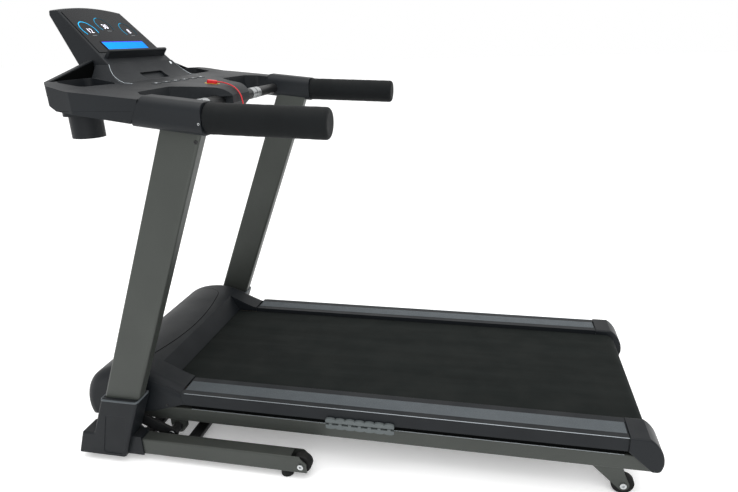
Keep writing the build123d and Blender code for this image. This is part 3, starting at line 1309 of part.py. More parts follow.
# Drive: motor on its feet, flywheel pulley and drive belt to the front roller
MOTOR_END = MOTOR_Y - MOTOR_LONG / 2
with BuildPart() as drive_motor:
    with BuildSketch(Plane.XZ.offset(-MOTOR_Y - MOTOR_LONG / 2)):
        with Locations((MOTOR_X, MOTOR_Z)):
            Circle(MOTOR_R)
    extrude(amount=MOTOR_LONG)
    fillet(drive_motor.edges().filter_by(GeomType.CIRCLE), 4)
    with BuildSketch(Plane.XY.offset(MOTOR_PLATE_HIGH)):
        with Locations((MOTOR_X, MOTOR_Y)):
            with GridLocations(0, MOTOR_LONG - 70, 1, 2):
                Rectangle(1.5 * MOTOR_R, 24)
    extrude(amount=MOTOR_Z - MOTOR_R / 2 - MOTOR_PLATE_HIGH)
    with BuildSketch(Plane.XZ.offset(-MOTOR_END - 30)):
        with Locations((MOTOR_X, MOTOR_Z)):
            Circle(MOTOR_SHAFT_R + RUN)
    extrude(amount=30, mode=Mode.SUBTRACT)
save(drive_motor.part, "drive_motor")

with BuildPart() as motor_pulley:
    with BuildSketch(Plane.XZ.offset(-MOTOR_END - 28)):
        with Locations((MOTOR_X, MOTOR_Z)):
            Circle(MOTOR_SHAFT_R)
    extrude(amount=MOTOR_END + 28 - PULLEY_Y + PULLEY_WIDE / 2)
    with BuildSketch(Plane.XZ.offset(-MOTOR_END + 4)):
        with Locations((MOTOR_X, MOTOR_Z)):
            Circle(FLYWHEEL_R)
    extrude(amount=FLYWHEEL_WIDE)
    with BuildSketch(Plane.XZ.offset(-PULLEY_Y - PULLEY_WIDE / 2)):
        with Locations((MOTOR_X, MOTOR_Z)):
            Circle(MOTOR_PULLEY_R)
    extrude(amount=PULLEY_WIDE)
save(motor_pulley.part, "motor_pulley")


def belt_hull(grow):
    """Side view round both pulleys, grown by an amount."""
    with BuildSketch(Plane.XZ, mode=Mode.PRIVATE) as view:
        with Locations((FRONT_ROLLER_X, ROLLER_Z)):
            Circle(ROLLER_PULLEY_R + grow)
        with Locations((MOTOR_X, MOTOR_Z)):
            Circle(MOTOR_PULLEY_R + grow)
        make_hull()
    return view.sketch_local


with BuildPart() as drive_belt:
    with BuildSketch(Plane.XZ.offset(-PULLEY_Y - PULLEY_WIDE / 2 + 1)):
        add(belt_hull(GAP + DRIVE_BELT_THICK))
        add(belt_hull(GAP), mode=Mode.SUBTRACT)
    extrude(amount=PULLEY_WIDE - 2)
save(drive_belt.part, "drive_belt")

# Motor controller on the motor plate
with BuildPart() as motor_controller:
    with BuildSketch(Plane.XY.offset(MOTOR_PLATE_HIGH)):
        with Locations((MOTOR_X, MOTOR_Y + MOTOR_LONG / 2 + 60)):
            Rectangle(90, 80)
    extrude(amount=20)
    with BuildSketch(Plane.XY.offset(MOTOR_PLATE_HIGH + 20)):
        with Locations((MOTOR_X, MOTOR_Y + MOTOR_LONG / 2 + 60)):
            with GridLocations(0, 10, 1, 7):
                Rectangle(80, 3)
    extrude(amount=18)
save(motor_controller.part, "motor_controller")

# Fold pins in the base plates, and the lift bracket that hangs the deck on them
with BuildPart() as fold_pins:
    for side, _ in SIDES:
        with BuildSketch(side_plane(side, LIFT_ARM_INNER - 0.5, FLOOR_INNER)):
            with Locations((FOLD_X, FOLD_Z)):
                Circle(FOLD_PIN_R)
        extrude(amount=FLOOR_INNER - LIFT_ARM_INNER + 0.5)
save(fold_pins.part, "fold_pins")

LIFT_ARM_OUTER = LIFT_ARM_INNER + LIFT_ARM_THICK
LEVER_OUTER = LEVER_INNER + LEVER_THICK
BOLT_HEAD = 4.0
with BuildPart() as lift_bracket:
    for side, _ in SIDES:
        with BuildSketch(side_plane(side, LEVER_OUTER, LIFT_ARM_INNER)):
            with Locations((LIFT_X, LIFT_Z)):
                Circle(LIFT_TUBE_R)
                Circle(LIFT_TUBE_R - 3, mode=Mode.SUBTRACT)
        extrude(amount=LIFT_ARM_INNER - LEVER_OUTER)
        with BuildSketch(side_plane(side, LIFT_ARM_INNER, LIFT_ARM_OUTER)):
            with Locations((LIFT_X, LIFT_Z), (FOLD_X, FOLD_Z)):
                Circle(LIFT_ARM_HALF)
            make_hull()
            with Locations((FOLD_X, FOLD_Z)):
                Circle(FOLD_PIN_R + RUN, mode=Mode.SUBTRACT)
        extrude(amount=LIFT_ARM_THICK)
        with BuildSketch(side_plane(side, LEVER_INNER, LEVER_OUTER)):
            with Locations((LIFT_X, LIFT_Z - LEVER_DROP)):
                Circle(LEVER_PIN_R + 7)
            with Locations((LIFT_X, LIFT_Z)):
                Circle(LIFT_TUBE_R + 2)
            make_hull()
        extrude(amount=LEVER_THICK)
        with BuildSketch(side_plane(side, LIFT_ARM_OUTER, LIFT_ARM_OUTER + BOLT_HEAD)):
            with Locations((LIFT_X, LIFT_Z)):
                Circle(2 * BOLT_HEAD)
                RegularPolygon(BOLT_HEAD, 6, mode=Mode.SUBTRACT)
        extrude(amount=BOLT_HEAD)
    with BuildSketch(Plane.XZ):
        with Locations((LIFT_X, LIFT_Z - LEVER_DROP)):
            Circle(LEVER_PIN_R)
    extrude(amount=LEVER_OUTER, both=True)
save(lift_bracket.part, "lift_bracket")

# Incline motor between the deck's ears, and its screw with an eye at the lever pin
SCREW_DIR = Vector(LIFT_X - ACTUATOR_X, 0, LIFT_Z - LEVER_DROP - ACTUATOR_Z).normalized()
SCREW_LONG = math.hypot(LIFT_X - ACTUATOR_X, LIFT_Z - LEVER_DROP - ACTUATOR_Z)


def screw_plane(along):
    """Plane square to the screw at a distance from the trunnion."""
    start = Vector(ACTUATOR_X, 0, ACTUATOR_Z) + SCREW_DIR * along
    return Plane(origin=start, x_dir=(0, 1, 0), z_dir=SCREW_DIR)


with BuildPart() as incline_motor:
    with BuildSketch(screw_plane(-ACTUATOR_BACK)):
        Circle(ACTUATOR_R)
    extrude(amount=ACTUATOR_BACK + ACTUATOR_AHEAD)
    fillet(incline_motor.edges().filter_by(GeomType.CIRCLE), 3)
    with BuildSketch(Plane.XZ):
        with Locations((ACTUATOR_X, ACTUATOR_Z)):
            Circle(TRUNNION_R)
    extrude(amount=ACTUATOR_R + TRUNNION_LONG, both=True)
    with BuildSketch(screw_plane(0)):
        Circle(ROD_R + RUN)
    extrude(amount=ACTUATOR_AHEAD, mode=Mode.SUBTRACT)
save(incline_motor.part, "incline_motor")

with BuildPart() as incline_screw:
    with BuildSketch(screw_plane(GAP)):
        Circle(ROD_R)
    extrude(amount=SCREW_LONG - EYE_R)
    with BuildSketch(Plane.XZ.offset(-EYE_HALF)):
        with Locations((LIFT_X, LIFT_Z - LEVER_DROP)):
            Circle(EYE_R)
    extrude(amount=2 * EYE_HALF)
    with BuildSketch(Plane.XZ.offset(-EYE_HALF - 8)):
        with Locations((LIFT_X, LIFT_Z - LEVER_DROP)):
            Circle(EYE_BORE)
    extrude(amount=2 * EYE_HALF + 16, mode=Mode.SUBTRACT)
save(incline_screw.part, "incline_screw")
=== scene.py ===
"""Looks of a folding motor treadmill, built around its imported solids.

Lengths are metres in the solids' own frame: +X to the rear, where the runner steps on, -Y the
runner's left, +Z up from the floor.
"""

import json
import logging
import math
from collections.abc import Callable, Sequence
from dataclasses import dataclass
from enum import Enum
from functools import cache

import bmesh
import bpy
from mathutils import Matrix, Vector
from mathutils.bvhtree import BVHTree


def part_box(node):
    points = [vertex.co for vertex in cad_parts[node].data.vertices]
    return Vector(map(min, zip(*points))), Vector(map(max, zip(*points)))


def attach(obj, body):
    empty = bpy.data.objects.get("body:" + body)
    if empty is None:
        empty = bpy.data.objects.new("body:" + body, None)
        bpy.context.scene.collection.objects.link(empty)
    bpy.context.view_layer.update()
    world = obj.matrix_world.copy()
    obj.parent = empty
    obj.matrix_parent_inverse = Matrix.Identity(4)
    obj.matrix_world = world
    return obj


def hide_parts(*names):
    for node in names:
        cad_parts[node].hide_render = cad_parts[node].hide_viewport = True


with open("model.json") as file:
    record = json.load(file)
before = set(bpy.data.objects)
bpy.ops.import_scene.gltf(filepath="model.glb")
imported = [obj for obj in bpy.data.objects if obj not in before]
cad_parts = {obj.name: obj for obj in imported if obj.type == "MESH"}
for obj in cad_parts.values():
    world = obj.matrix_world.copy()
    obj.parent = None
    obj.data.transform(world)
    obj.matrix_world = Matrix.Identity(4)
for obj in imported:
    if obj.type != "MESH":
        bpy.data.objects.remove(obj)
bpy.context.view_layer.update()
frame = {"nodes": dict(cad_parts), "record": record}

LOG = logging.getLogger("treadmill")
SIDES = ((-1, "left"), (1, "right"))
SMOOTH_ANGLE = math.radians(35)
ON_SURFACE = 0.0002
WHITE = (1.0, 1.0, 1.0, 1.0)
DUST_CODE = "8d8a84"
DUST_MATT = 0.4
# How much lighter the edge mask makes a colour: partly rubbed wear, partly painted highlight on the
# edges.
EDGE_WEAR_AND_HIGHLIGHT_GAIN = 2.2
DIGIT_THICK = 0.00015
LAMP_GLOSS = {"Roughness": 0.25, "Specular IOR Level": 0.02}
Socket = bpy.types.NodeSocket
Sockets = dict[str, Socket]
Outline = Sequence[tuple[float, float]]


def tint(code: str) -> tuple[float, float, float, float]:
    """Linear colour of a six-digit screen colour.

    Args:
        code: The six digits.

    Returns:
        Red, green, blue and an alpha of 1.
    """
    parts = [int(code[i:i + 2], 16) / 255 for i in (0, 2, 4)]
    linear = [p / 12.92 if p < 0.04045 else ((p + 0.055) / 1.055) ** 2.4 for p in parts]
    return (*linear, 1.0)


def scaled(colour: Sequence[float], factor: float) -> tuple[float, float, float, float]:
    """A colour made lighter or darker by a factor."""
    return (*(c * factor for c in colour[:3]), 1.0)


class Tree:
    """A shader node tree with short calls for the nodes that finishes share."""

    def __init__(self, tree: bpy.types.NodeTree) -> None:
        """Keeps the tree that nodes are added to."""
        self.tree = tree

    def add(self, kind: str, inputs: dict | None = None, **settings: object) -> bpy.types.Node:
        """Adds a node.

        Args:
            kind: The node's type name.
            inputs: Value or linked socket of each named or numbered input.
            settings: Attributes of the node.

        Returns:
            The new node.
        """
        node = self.tree.nodes.new(kind)
        for name, value in settings.items():
            setattr(node, name, value)
        for key, value in (inputs or {}).items():
            if isinstance(value, Socket):
                self.tree.links.new(value, node.inputs[key])
            else:
                node.inputs[key].default_value = value
        return node

    def calc(self, operation: str, first: Socket | float, second: Socket | float = 0.0) -> Socket:
        """Result of a two-input math node."""
        return self.add("ShaderNodeMath", {0: first, 1: second}, operation=operation).outputs[0]

    def blend(self, factor: Socket | float, first: object, second: object) -> Socket:
        """Colour mixed from two colours by a factor."""
        return self.add("ShaderNodeMix", {0: factor, 6: first, 7: second}, data_type="RGBA").outputs[2]

    def spread(
        self, value: Socket, low: float, high: float, start: float = 0.0, end: float = 1.0
    ) -> Socket:
        """A value mapped from start to end onto low to high."""
        ends = {"From Min": start, "From Max": end, "To Min": low, "To Max": high}
        return self.add("ShaderNodeMapRange", {"Value": value, **ends}).outputs["Result"]

    def place(self) -> Socket:
        """Object coordinates, in metres."""
        return self.add("ShaderNodeTexCoord").outputs["Object"]

    def stretched(self, scale: tuple[float, float, float]) -> Socket:
        """Object coordinates, scaled along each axis."""
        return self.add("ShaderNodeMapping", {"Vector": self.place(), "Scale": scale}).outputs[0]

    def noise(self, scale: Socket | float, detail: float = 3.0, place: Socket | None = None) -> Socket:
        """A noise value over object coordinates."""
        inputs = {"Vector": place or self.place(), "Scale": scale, "Detail": detail}
        return self.add("ShaderNodeTexNoise", inputs).outputs["Fac"]

    def effect(self, group: bpy.types.NodeTree, values: dict[str, float]) -> bpy.types.Node:
        """Places a shared effect with its own values."""
        return self.add("ShaderNodeGroup", values, node_tree=group)


def effect_group(
    name: str,
    inputs: dict[str, float],
    outputs: dict[str, str],
    wire: Callable[[Tree, bpy.types.Node], Sockets],
) -> bpy.types.NodeTree:
    """Builds a shared effect as a node group.

    Args:
        name: The group's name.
        inputs: Name and usual value of each input.
        outputs: Name and socket type of each output.
        wire: Fills the group and gives the socket of each output.

    Returns:
        The node group.
    """
    group = bpy.data.node_groups.new(name, "ShaderNodeTree")
    for label, value in inputs.items():
        socket = group.interface.new_socket(label, in_out="INPUT", socket_type="NodeSocketFloat")
        socket.default_value = value
    for label, kind in outputs.items():
        group.interface.new_socket(label, in_out="OUTPUT", socket_type=kind)
    tree = Tree(group)
    entry = tree.add("NodeGroupInput")
    leave = tree.add("NodeGroupOutput")
    for label, socket in wire(tree, entry).items():
        group.links.new(socket, leave.inputs[label])
    return group


def wire_moulded(tree: Tree, entry: bpy.types.Node) -> Sockets:
    """Fine moulded grain with a broad change of tone."""
    fine = tree.noise(entry.outputs["Grain"], 4.0)
    return {"Height": fine, "Tone": tree.noise(entry.outputs["Mottle"])}


def wire_flake(tree: Tree, entry: bpy.types.Node) -> Sockets:
    """Metallic flakes under a slightly wavy paint skin.

    Args:
        tree: The group's tree.
        entry: The group's input node.

    Returns:
        The socket of each output.
    """
    cells = tree.add("ShaderNodeTexVoronoi", {"Vector": tree.place(), "Scale": entry.outputs["Grain"]})
    sparkle = tree.add("ShaderNodeSeparateColor", {0: cells.outputs["Color"]}).outputs[0]
    skin = tree.noise(tree.calc("MULTIPLY", entry.outputs["Grain"], 0.2), 2.0)
    broad = tree.noise(entry.outputs["Mottle"])
    tone = tree.calc("ADD", tree.calc("MULTIPLY", sparkle, 0.45), tree.calc("MULTIPLY", broad, 0.55))
    return {"Height": skin, "Tone": tone}


def wire_brushed(tree: Tree, entry: bpy.types.Node) -> Sockets:
    """Fine lines along X, as brushing leaves them.

    Args:
        tree: The group's tree.
        entry: The group's input node.

    Returns:
        The socket of each output.
    """
    lines = tree.noise(entry.outputs["Grain"], 3.0, tree.stretched((0.02, 1.0, 1.0)))
    tone = tree.calc("MULTIPLY", lines, tree.noise(entry.outputs["Mottle"]))
    return {"Height": lines, "Tone": tone}


def wire_cells(tree: Tree, entry: bpy.types.Node) -> Sockets:
    """Pores of a closed-cell foam skin.

    Args:
        tree: The group's tree.
        entry: The group's input node.

    Returns:
        The socket of each output.
    """
    cells = tree.add("ShaderNodeTexVoronoi", {"Vector": tree.place(), "Scale": entry.outputs["Grain"]})
    pores = tree.spread(cells.outputs["Distance"], 0.0, 1.0, 0.05, 0.5)
    return {"Height": pores, "Tone": tree.noise(entry.outputs["Mottle"], 4.0)}


def wire_pebble(tree: Tree, entry: bpy.types.Node) -> Sockets:
    """Pebbled belt face, with streaks along its run.

    Args:
        tree: The group's tree.
        entry: The group's input node.

    Returns:
        The socket of each output.
    """
    settings = {"Vector": tree.place(), "Scale": entry.outputs["Grain"], "Smoothness": 0.6}
    pebbles = tree.add("ShaderNodeTexVoronoi", settings, feature="SMOOTH_F1").outputs["Distance"]
    streaks = tree.noise(entry.outputs["Mottle"], 5.0, tree.stretched((0.12, 1.0, 1.0)))
    return {"Height": pebbles, "Tone": streaks}


def wire_layers(tree: Tree, entry: bpy.types.Node) -> Sockets:
    """Pressed wood: flecks with faint layers.

    Args:
        tree: The group's tree.
        entry: The group's input node.

    Returns:
        The socket of each output.
    """
    flecks = tree.noise(entry.outputs["Grain"], 6.0, tree.stretched((0.3, 1.0, 6.0)))
    tone = tree.calc("MULTIPLY", flecks, tree.noise(entry.outputs["Mottle"]))
    return {"Height": flecks, "Tone": tone}


def wire_edges(tree: Tree, entry: bpy.types.Node) -> Sockets:
    """Rounded edges, with a broken mask of edges that finishes lighten: rubbed wear together with
    painted highlight.

    Args:
        tree: The group's tree.
        entry: The group's input node.

    Returns:
        The socket of each output.
    """
    bevel = tree.add("ShaderNodeBevel", {"Radius": entry.outputs["Radius"]}, samples=4)
    rounded = bevel.outputs["Normal"]
    flat = tree.add("ShaderNodeNewGeometry").outputs["Normal"]
    facing = tree.add("ShaderNodeVectorMath", {0: rounded, 1: flat}, operation="DOT_PRODUCT")
    bend = tree.spread(tree.calc("SUBTRACT", 1.0, facing.outputs["Value"]), 0.0, 1.0, 0.01, 0.12)
    patches = tree.spread(tree.noise(40.0, 4.0), 0.3, 1.0, 0.35, 0.65)
    return {"Mask": tree.calc("MULTIPLY", bend, patches), "Normal": rounded}


def wire_dust(tree: Tree, entry: bpy.types.Node) -> Sockets:
    """Dust on what faces up, in soft patches.

    Args:
        tree: The group's tree.
        entry: The group's input node.

    Returns:
        The socket of each output.
    """
    facing = tree.add("ShaderNodeTexCoord").outputs["Normal"]
    upward = tree.add("ShaderNodeSeparateXYZ", {0: facing}).outputs["Z"]
    settled = tree.spread(upward, 0.0, 1.0, 0.4, 1.0)
    patches = tree.spread(tree.noise(14.0, 5.0), 0.2, 1.0, 0.35, 0.7)
    mask = tree.calc("MULTIPLY", tree.calc("MULTIPLY", settled, patches), entry.outputs["Amount"])
    return {"Mask": mask}


class Texture(Enum):
    """Kinds of surface detail, each with the function that wires it."""

    MOULDED = (wire_moulded,)
    FLAKE = (wire_flake,)
    BRUSHED = (wire_brushed,)
    CELLS = (wire_cells,)
    PEBBLE = (wire_pebble,)
    LAYERS = (wire_layers,)


class Effects:
    """The shared effect groups, each built the first time it is asked for."""

    built: dict[str, bpy.types.NodeTree] = {}

    @classmethod
    def texture(cls, kind: Texture) -> bpy.types.NodeTree:
        """Group with the height and tone of a kind of surface.

        Args:
            kind: The kind of surface.

        Returns:
            The group.
        """
        name = f"{kind.name.lower()}_surface"
        inputs = {"Grain": 1000.0, "Mottle": 8.0}
        outputs = {"Height": "NodeSocketFloat", "Tone": "NodeSocketFloat"}
        return cls.group(name, inputs, outputs, kind.value[0])

    @classmethod
    def edges(cls) -> bpy.types.NodeTree:
        """Group with rounded edge normals and a mask of edges lightened as rubbed wear and as painted
        highlight.
        """
        outputs = {"Mask": "NodeSocketFloat", "Normal": "NodeSocketVector"}
        return cls.group("worn_and_highlit_edges", {"Radius": 0.0008}, outputs, wire_edges)

    @classmethod
    def dust(cls) -> bpy.types.NodeTree:
        """Group with a mask of settled dust."""
        return cls.group("settled_dust", {"Amount": 0.1}, {"Mask": "NodeSocketFloat"}, wire_dust)

    @classmethod
    def group(cls, name: str, inputs: dict, outputs: dict, wire: Callable) -> bpy.types.NodeTree:
        """The group of that name, built if it is new.

        Args:
            name: The group's name.
            inputs: Name and usual value of each input.
            outputs: Name and socket type of each output.
            wire: Fills the group.

        Returns:
            The group.
        """
        if name not in cls.built:
            cls.built[name] = effect_group(name, inputs, outputs, wire)
        return cls.built[name]


def new_material(name: str) -> tuple[bpy.types.Material, bpy.types.Node, Tree]:
    """Makes a new node material.

    Args:
        name: The material's name.

    Returns:
        The material, its shader and its tree.
    """
    material = bpy.data.materials.new(name)
    material.use_nodes = True
    return material, material.node_tree.nodes["Principled BSDF"], Tree(material.node_tree)


@dataclass(frozen=True)
class Finish:
    """A surface of the treadmill, as the numbers that its material needs.

    Grain and mottle are counts per metre, relief and edge are metres.
    """

    name: str
    code: str
    texture: Texture
    roughness: float
    metallic: float = 0.0
    grain: float = 1600.0
    mottle: float = 9.0
    relief: float = 0.00006
    contrast: float = 0.12
    polish: float = 0.06
    # Share of the edge lightening: rubbed wear together with painted highlight.
    rubbed: float = 0.3
    edge: float = 0.0009
    dusty: float = 0.05
    specular: float = 0.45
    sheen: float = 0.0

    def colour(self, tree: Tree, tone: Socket, rubbed: Socket, dust: Socket) -> Socket:
        """Base colour with its changes of tone, lightened edges (rubbed wear and painted highlight) and
        dust.

        Args:
            tree: The material's tree.
            tone: Broad change of tone, from 0 to 1.
            rubbed: Mask of lightened edges, partly rubbed wear and partly painted highlight.
            dust: Mask of settled dust.

        Returns:
            The mixed colour.
        """
        base = tint(self.code)
        mixed = tree.blend(tone, scaled(base, 1 - self.contrast), scaled(base, 1 + self.contrast))
        # Edges are lightened by the mask: partly rubbed wear, partly painted highlight.
        worn_and_highlit = tree.calc("MULTIPLY", rubbed, self.rubbed)
        mixed = tree.blend(worn_and_highlit, mixed, scaled(base, EDGE_WEAR_AND_HIGHLIGHT_GAIN))
        return tree.blend(dust, mixed, tint(DUST_CODE))

    def material(self) -> bpy.types.Material:
        """Builds the node material of this finish.

        Returns:
            The material.
        """
        material, shader, tree = new_material(self.name)
        detail = tree.effect(
            Effects.texture(self.texture), {"Grain": self.grain, "Mottle": self.mottle}
        )
        edges = tree.effect(Effects.edges(), {"Radius": self.edge})
        dust = tree.effect(Effects.dust(), {"Amount": self.dusty}).outputs["Mask"]
        tone = tree.spread(detail.outputs["Tone"], 0.0, 1.0, 0.25, 0.75)
        gloss = tree.spread(tone, self.roughness + self.polish, self.roughness - self.polish)
        bump = tree.add("ShaderNodeBump", {
            "Height": detail.outputs["Height"],
            "Distance": self.relief,
            "Strength": 1.0,
            "Normal": edges.outputs["Normal"],
        })
        linked = {
            "Base Color": self.colour(tree, tone, edges.outputs["Mask"], dust),
            "Roughness": tree.calc("ADD", gloss, tree.calc("MULTIPLY", dust, DUST_MATT)),
            "Normal": bump.outputs["Normal"],
        }
        for name, socket in linked.items():
            tree.tree.links.new(socket, shader.inputs[name])
        plain = {
            "Metallic": self.metallic,
            "Specular IOR Level": self.specular,
            "Sheen Weight": self.sheen,
        }
        for name, value in plain.items():
            shader.inputs[name].default_value = value
        return material


@dataclass(frozen=True)
class Lamp:
    """A lit mark or screen, brighter towards one end."""

    name: str
    code: str
    strength: float
    fade: float = 0.85
    lines: float = 0.0

    def material(self) -> bpy.types.Material:
        """Builds the glowing material.

        Returns:
            The material.
        """
        material, shader, tree = new_material(self.name)
        base = tint(self.code)
        across = tree.add("ShaderNodeSeparateXYZ", {0: tree.place()}).outputs["Y"]
        drift = tree.calc("ADD", tree.spread(across, 0.0, 1.0, -0.1, 0.1), tree.noise(30.0))
        glow = tree.blend(tree.calc("MULTIPLY", drift, 0.5), base, scaled(base, self.fade))
        if self.lines:
            inputs = {"Vector": tree.place(), "Scale": self.lines}
            rows = tree.add("ShaderNodeTexWave", inputs, bands_direction="Y").outputs["Fac"]
            glow = tree.blend(tree.calc("MULTIPLY", rows, 0.12), glow, scaled(base, 0.5))
        for name in ("Base Color", "Emission Color"):
            tree.tree.links.new(glow, shader.inputs[name])
        for name, value in {"Emission Strength": self.strength, **LAMP_GLOSS}.items():
            shader.inputs[name].default_value = value
        return material


FINISHES = (
    Finish("mast_paint", "3b3e3b", Texture.FLAKE, 0.42, metallic=0.35, grain=2600.0,
           relief=0.00004, specular=0.3),
    Finish("console_plastic", "15181b", Texture.MOULDED, 0.5, relief=0.00007, dusty=0.03, specular=0.2),
    Finish("cover_plastic", "14171a", Texture.MOULDED, 0.45, relief=0.00006, dusty=0.03, specular=0.16),
    Finish("strip_plastic", "4a5054", Texture.BRUSHED, 0.40, metallic=0.35, grain=1800.0),
    Finish("grey_rubber", "4b5152", Texture.MOULDED, 0.66, relief=0.00008),
    Finish("black_rubber", "121313", Texture.MOULDED, 0.7, relief=0.0001, dusty=0.08, specular=0.15),
    Finish("belt_rubber", "101413", Texture.PEBBLE, 0.78, grain=420.0, mottle=26.0,
           relief=0.00012, dusty=0.015, specular=0.1),
    Finish("grip_foam", "111314", Texture.CELLS, 0.86, grain=1500.0, relief=0.00018,
           sheen=0.04, specular=0.1, dusty=0.02),
    Finish("bright_steel", "c4c7c8", Texture.BRUSHED, 0.28, metallic=1.0, grain=2400.0, dusty=0.0),
    Finish("black_tube", "151617", Texture.FLAKE, 0.4, metallic=0.2),
    Finish("roller_steel", "8f9294", Texture.BRUSHED, 0.34, metallic=1.0, grain=2400.0),
    Finish("motor_paint", "17181a", Texture.FLAKE, 0.45, metallic=0.2),
    Finish("controller_aluminium", "a4a7a9", Texture.BRUSHED, 0.36, metallic=1.0),
    Finish("board_wood", "5c4c39", Texture.LAYERS, 0.7, grain=90.0, mottle=14.0, contrast=0.3),
    Finish("panel_gloss", "0c0e11", Texture.MOULDED, 0.26, relief=0.00001, polish=0.03,
           dusty=0.0, specular=0.1),
    Finish("button_plastic", "2a2e31", Texture.MOULDED, 0.5, relief=0.00005, specular=0.25),
    Finish("key_red", "b8141d", Texture.MOULDED, 0.38, relief=0.00003),
    Finish("printed_white", "d9dde0", Texture.MOULDED, 0.55, relief=0.00001, dusty=0.0),
    Finish("printed_grey", "6d7376", Texture.MOULDED, 0.55, relief=0.00001, dusty=0.0),
    Finish("printed_yellow", "d9b614", Texture.MOULDED, 0.5, relief=0.00001, dusty=0.0),
    # Bright metal look: the riser trim, and painted highlights along the rail and tube edges.
    Finish("silver_trim_and_highlight", "9aa0a4", Texture.BRUSHED, 0.3, metallic=0.9, dusty=0.0),
    # Near-black and almost unreflecting: painted shade, for gaps, grooves and shadowed hollows.
    Finish("seam_shadow", "050606", Texture.MOULDED, 0.8, dusty=0.0, specular=0.02),
)
LAMPS = (
    Lamp("screen_glass", "0680ee", 0.8, 0.6, lines=500.0),
    Lamp("screen_edge", "4a2bc4", 0.6),
    Lamp("dial_bright", "1fa0d4", 0.7),
    Lamp("dial_soft", "1b7a9e", 0.5),
    Lamp("dial_dim", "123845", 0.3),
    Lamp("digits_white", "e6e4f2", 0.9, 0.97),
)
MATERIALS = {look.name: look.material() for look in FINISHES + LAMPS}


def link(name: str, mesh: bpy.types.Mesh) -> bpy.types.Object:
    """Puts a mesh into the scene as an object at the origin.

    Args:
        name: The object's name.
        mesh: Its mesh.

    Returns:
        The new object.
    """
    piece = bpy.data.objects.new(name, mesh)
    bpy.context.scene.collection.objects.link(piece)
    return piece


def solid(name: str, points: Sequence[Vector], faces: Sequence[Sequence[int]]) -> bpy.types.Object:
    """Makes a mesh piece with clean outward normals.

    Args:
        name: The piece's name.
        points: Its corners.
        faces: Corner numbers of each face.

    Returns:
        The new object, at the origin.
    """
    mesh = bpy.data.meshes.new(name)
    mesh.from_pydata([tuple(p) for p in points], [], faces)
    work = bmesh.new()
    work.from_mesh(mesh)
    bmesh.ops.remove_doubles(work, verts=work.verts, dist=1e-6)
    bmesh.ops.recalc_face_normals(work, faces=work.faces)
    work.to_mesh(mesh)
    work.free()
    mesh.polygons.foreach_set("use_smooth", [True] * len(mesh.polygons))
    mesh.set_sharp_from_angle(angle=SMOOTH_ANGLE)
    return link(name, mesh)


def swept(name: str, rings: Sequence[Sequence[Vector]], closed: bool = False) -> bpy.types.Object:
    """Joins rings of equal count into a skin, with flat ends unless it closes on itself.

    Args:
        name: The piece's name.
        rings: The rings, in order.
        closed: Whether the last ring joins the first.

    Returns:
        The new object.
    """
    count = len(rings[0])
    points = [p for ring in rings for p in ring]
    faces = []
    spans = len(rings) if closed else len(rings) - 1
    for i in range(spans):
        here, there = i * count, (i + 1) % len(rings) * count
        for j in range(count):
            k = (j + 1) % count
            faces.append((here + j, here + k, there + k, there + j))
    if not closed:
        faces.append(tuple(range(count)))
        faces.append(tuple(range(len(points) - count, len(points))))
    return solid(name, points, faces)


def turned(name: str, profile: Outline, base: Matrix, count: int = 48) -> bpy.types.Object:
    """Turns a profile of (along, radius) about the Z axis of a base.

    Args:
        name: The piece's name.
        profile: Places along the axis and their radii.
        base: Where the axis stands.
        count: Points round each ring.

    Returns:
        The new object.
    """
    angles = [2 * math.pi * i / count for i in range(count)]
    rings = []
    for z, r in profile:
        rings.append([base @ Vector((r * math.cos(a), r * math.sin(a), z)) for a in angles])
    return swept(name, rings)


def plate(name: str, outline: Outline, base: Matrix, thick: float) -> bpy.types.Object:
    """A flat plate with an outline in a base's XY plane."""
    rings = [[base @ Vector((x, y, z)) for x, y in outline] for z in (0.0, thick)]
    return swept(name, rings)


def ring_plate(
    name: str, outer: Outline, inner: Outline, base: Matrix, thick: float
) -> bpy.types.Object:
    """A flat ring between two outlines of equal count.

    Args:
        name: The piece's name.
        outer: Its outer outline.
        inner: Its inner outline.
        base: The plane it lies on.
        thick: Its thickness.

    Returns:
        The new object.
    """
    levels = ((outer, 0.0), (outer, thick), (inner, thick), (inner, 0.0))
    rings = [[base @ Vector((x, y, z)) for x, y in outline] for outline, z in levels]
    return swept(name, rings, closed=True)


def round_rect(wide: float, tall: float, radius: float, steps: int = 6) -> list[tuple[float, float]]:
    """Outline of a rectangle with round corners, about its middle.

    Args:
        wide: Size along X.
        tall: Size along Y.
        radius: Radius of the corners.
        steps: Steps in each corner.

    Returns:
        The outline's points.
    """
    outline = []
    for turn, (sx, sy) in enumerate(((1, 1), (-1, 1), (-1, -1), (1, -1))):
        for i in range(steps + 1):
            angle = (turn + i / steps) * math.pi / 2
            x = sx * (wide / 2 - radius) + radius * math.cos(angle)
            y = sy * (tall / 2 - radius) + radius * math.sin(angle)
            outline.append((x, y))
    return outline


def arc_band(
    radius: float, width: float, start: float, end: float, steps: int = 40
) -> list[tuple[float, float]]:
    """Outline of a bent band between two angles in degrees.

    Args:
        radius: Radius along the band's middle.
        width: The band's width.
        start: Angle of its first end.
        end: Angle of its last end.
        steps: Steps along each edge.

    Returns:
        The outline's points.
    """
    angles = [math.radians(start + (end - start) * i / steps) for i in range(steps + 1)]
    outline = []
    for reach, turns in ((radius + width / 2, angles), (radius - width / 2, reversed(angles))):
        outline += [(reach * math.cos(a), reach * math.sin(a)) for a in turns]
    return outline


def upright(place: Vector, normal: Vector, across: Vector) -> Matrix:
    """Base whose Z is a normal and whose X runs across.

    Args:
        place: The base's origin.
        normal: Direction of its Z.
        across: Direction that its X keeps closest to.

    Returns:
        The base.
    """
    z = normal.normalized()
    x = (across - across.dot(z) * z).normalized()
    y = z.cross(x)
    base = Matrix((x, y, z)).transposed().to_4x4()
    base.translation = place
    return base


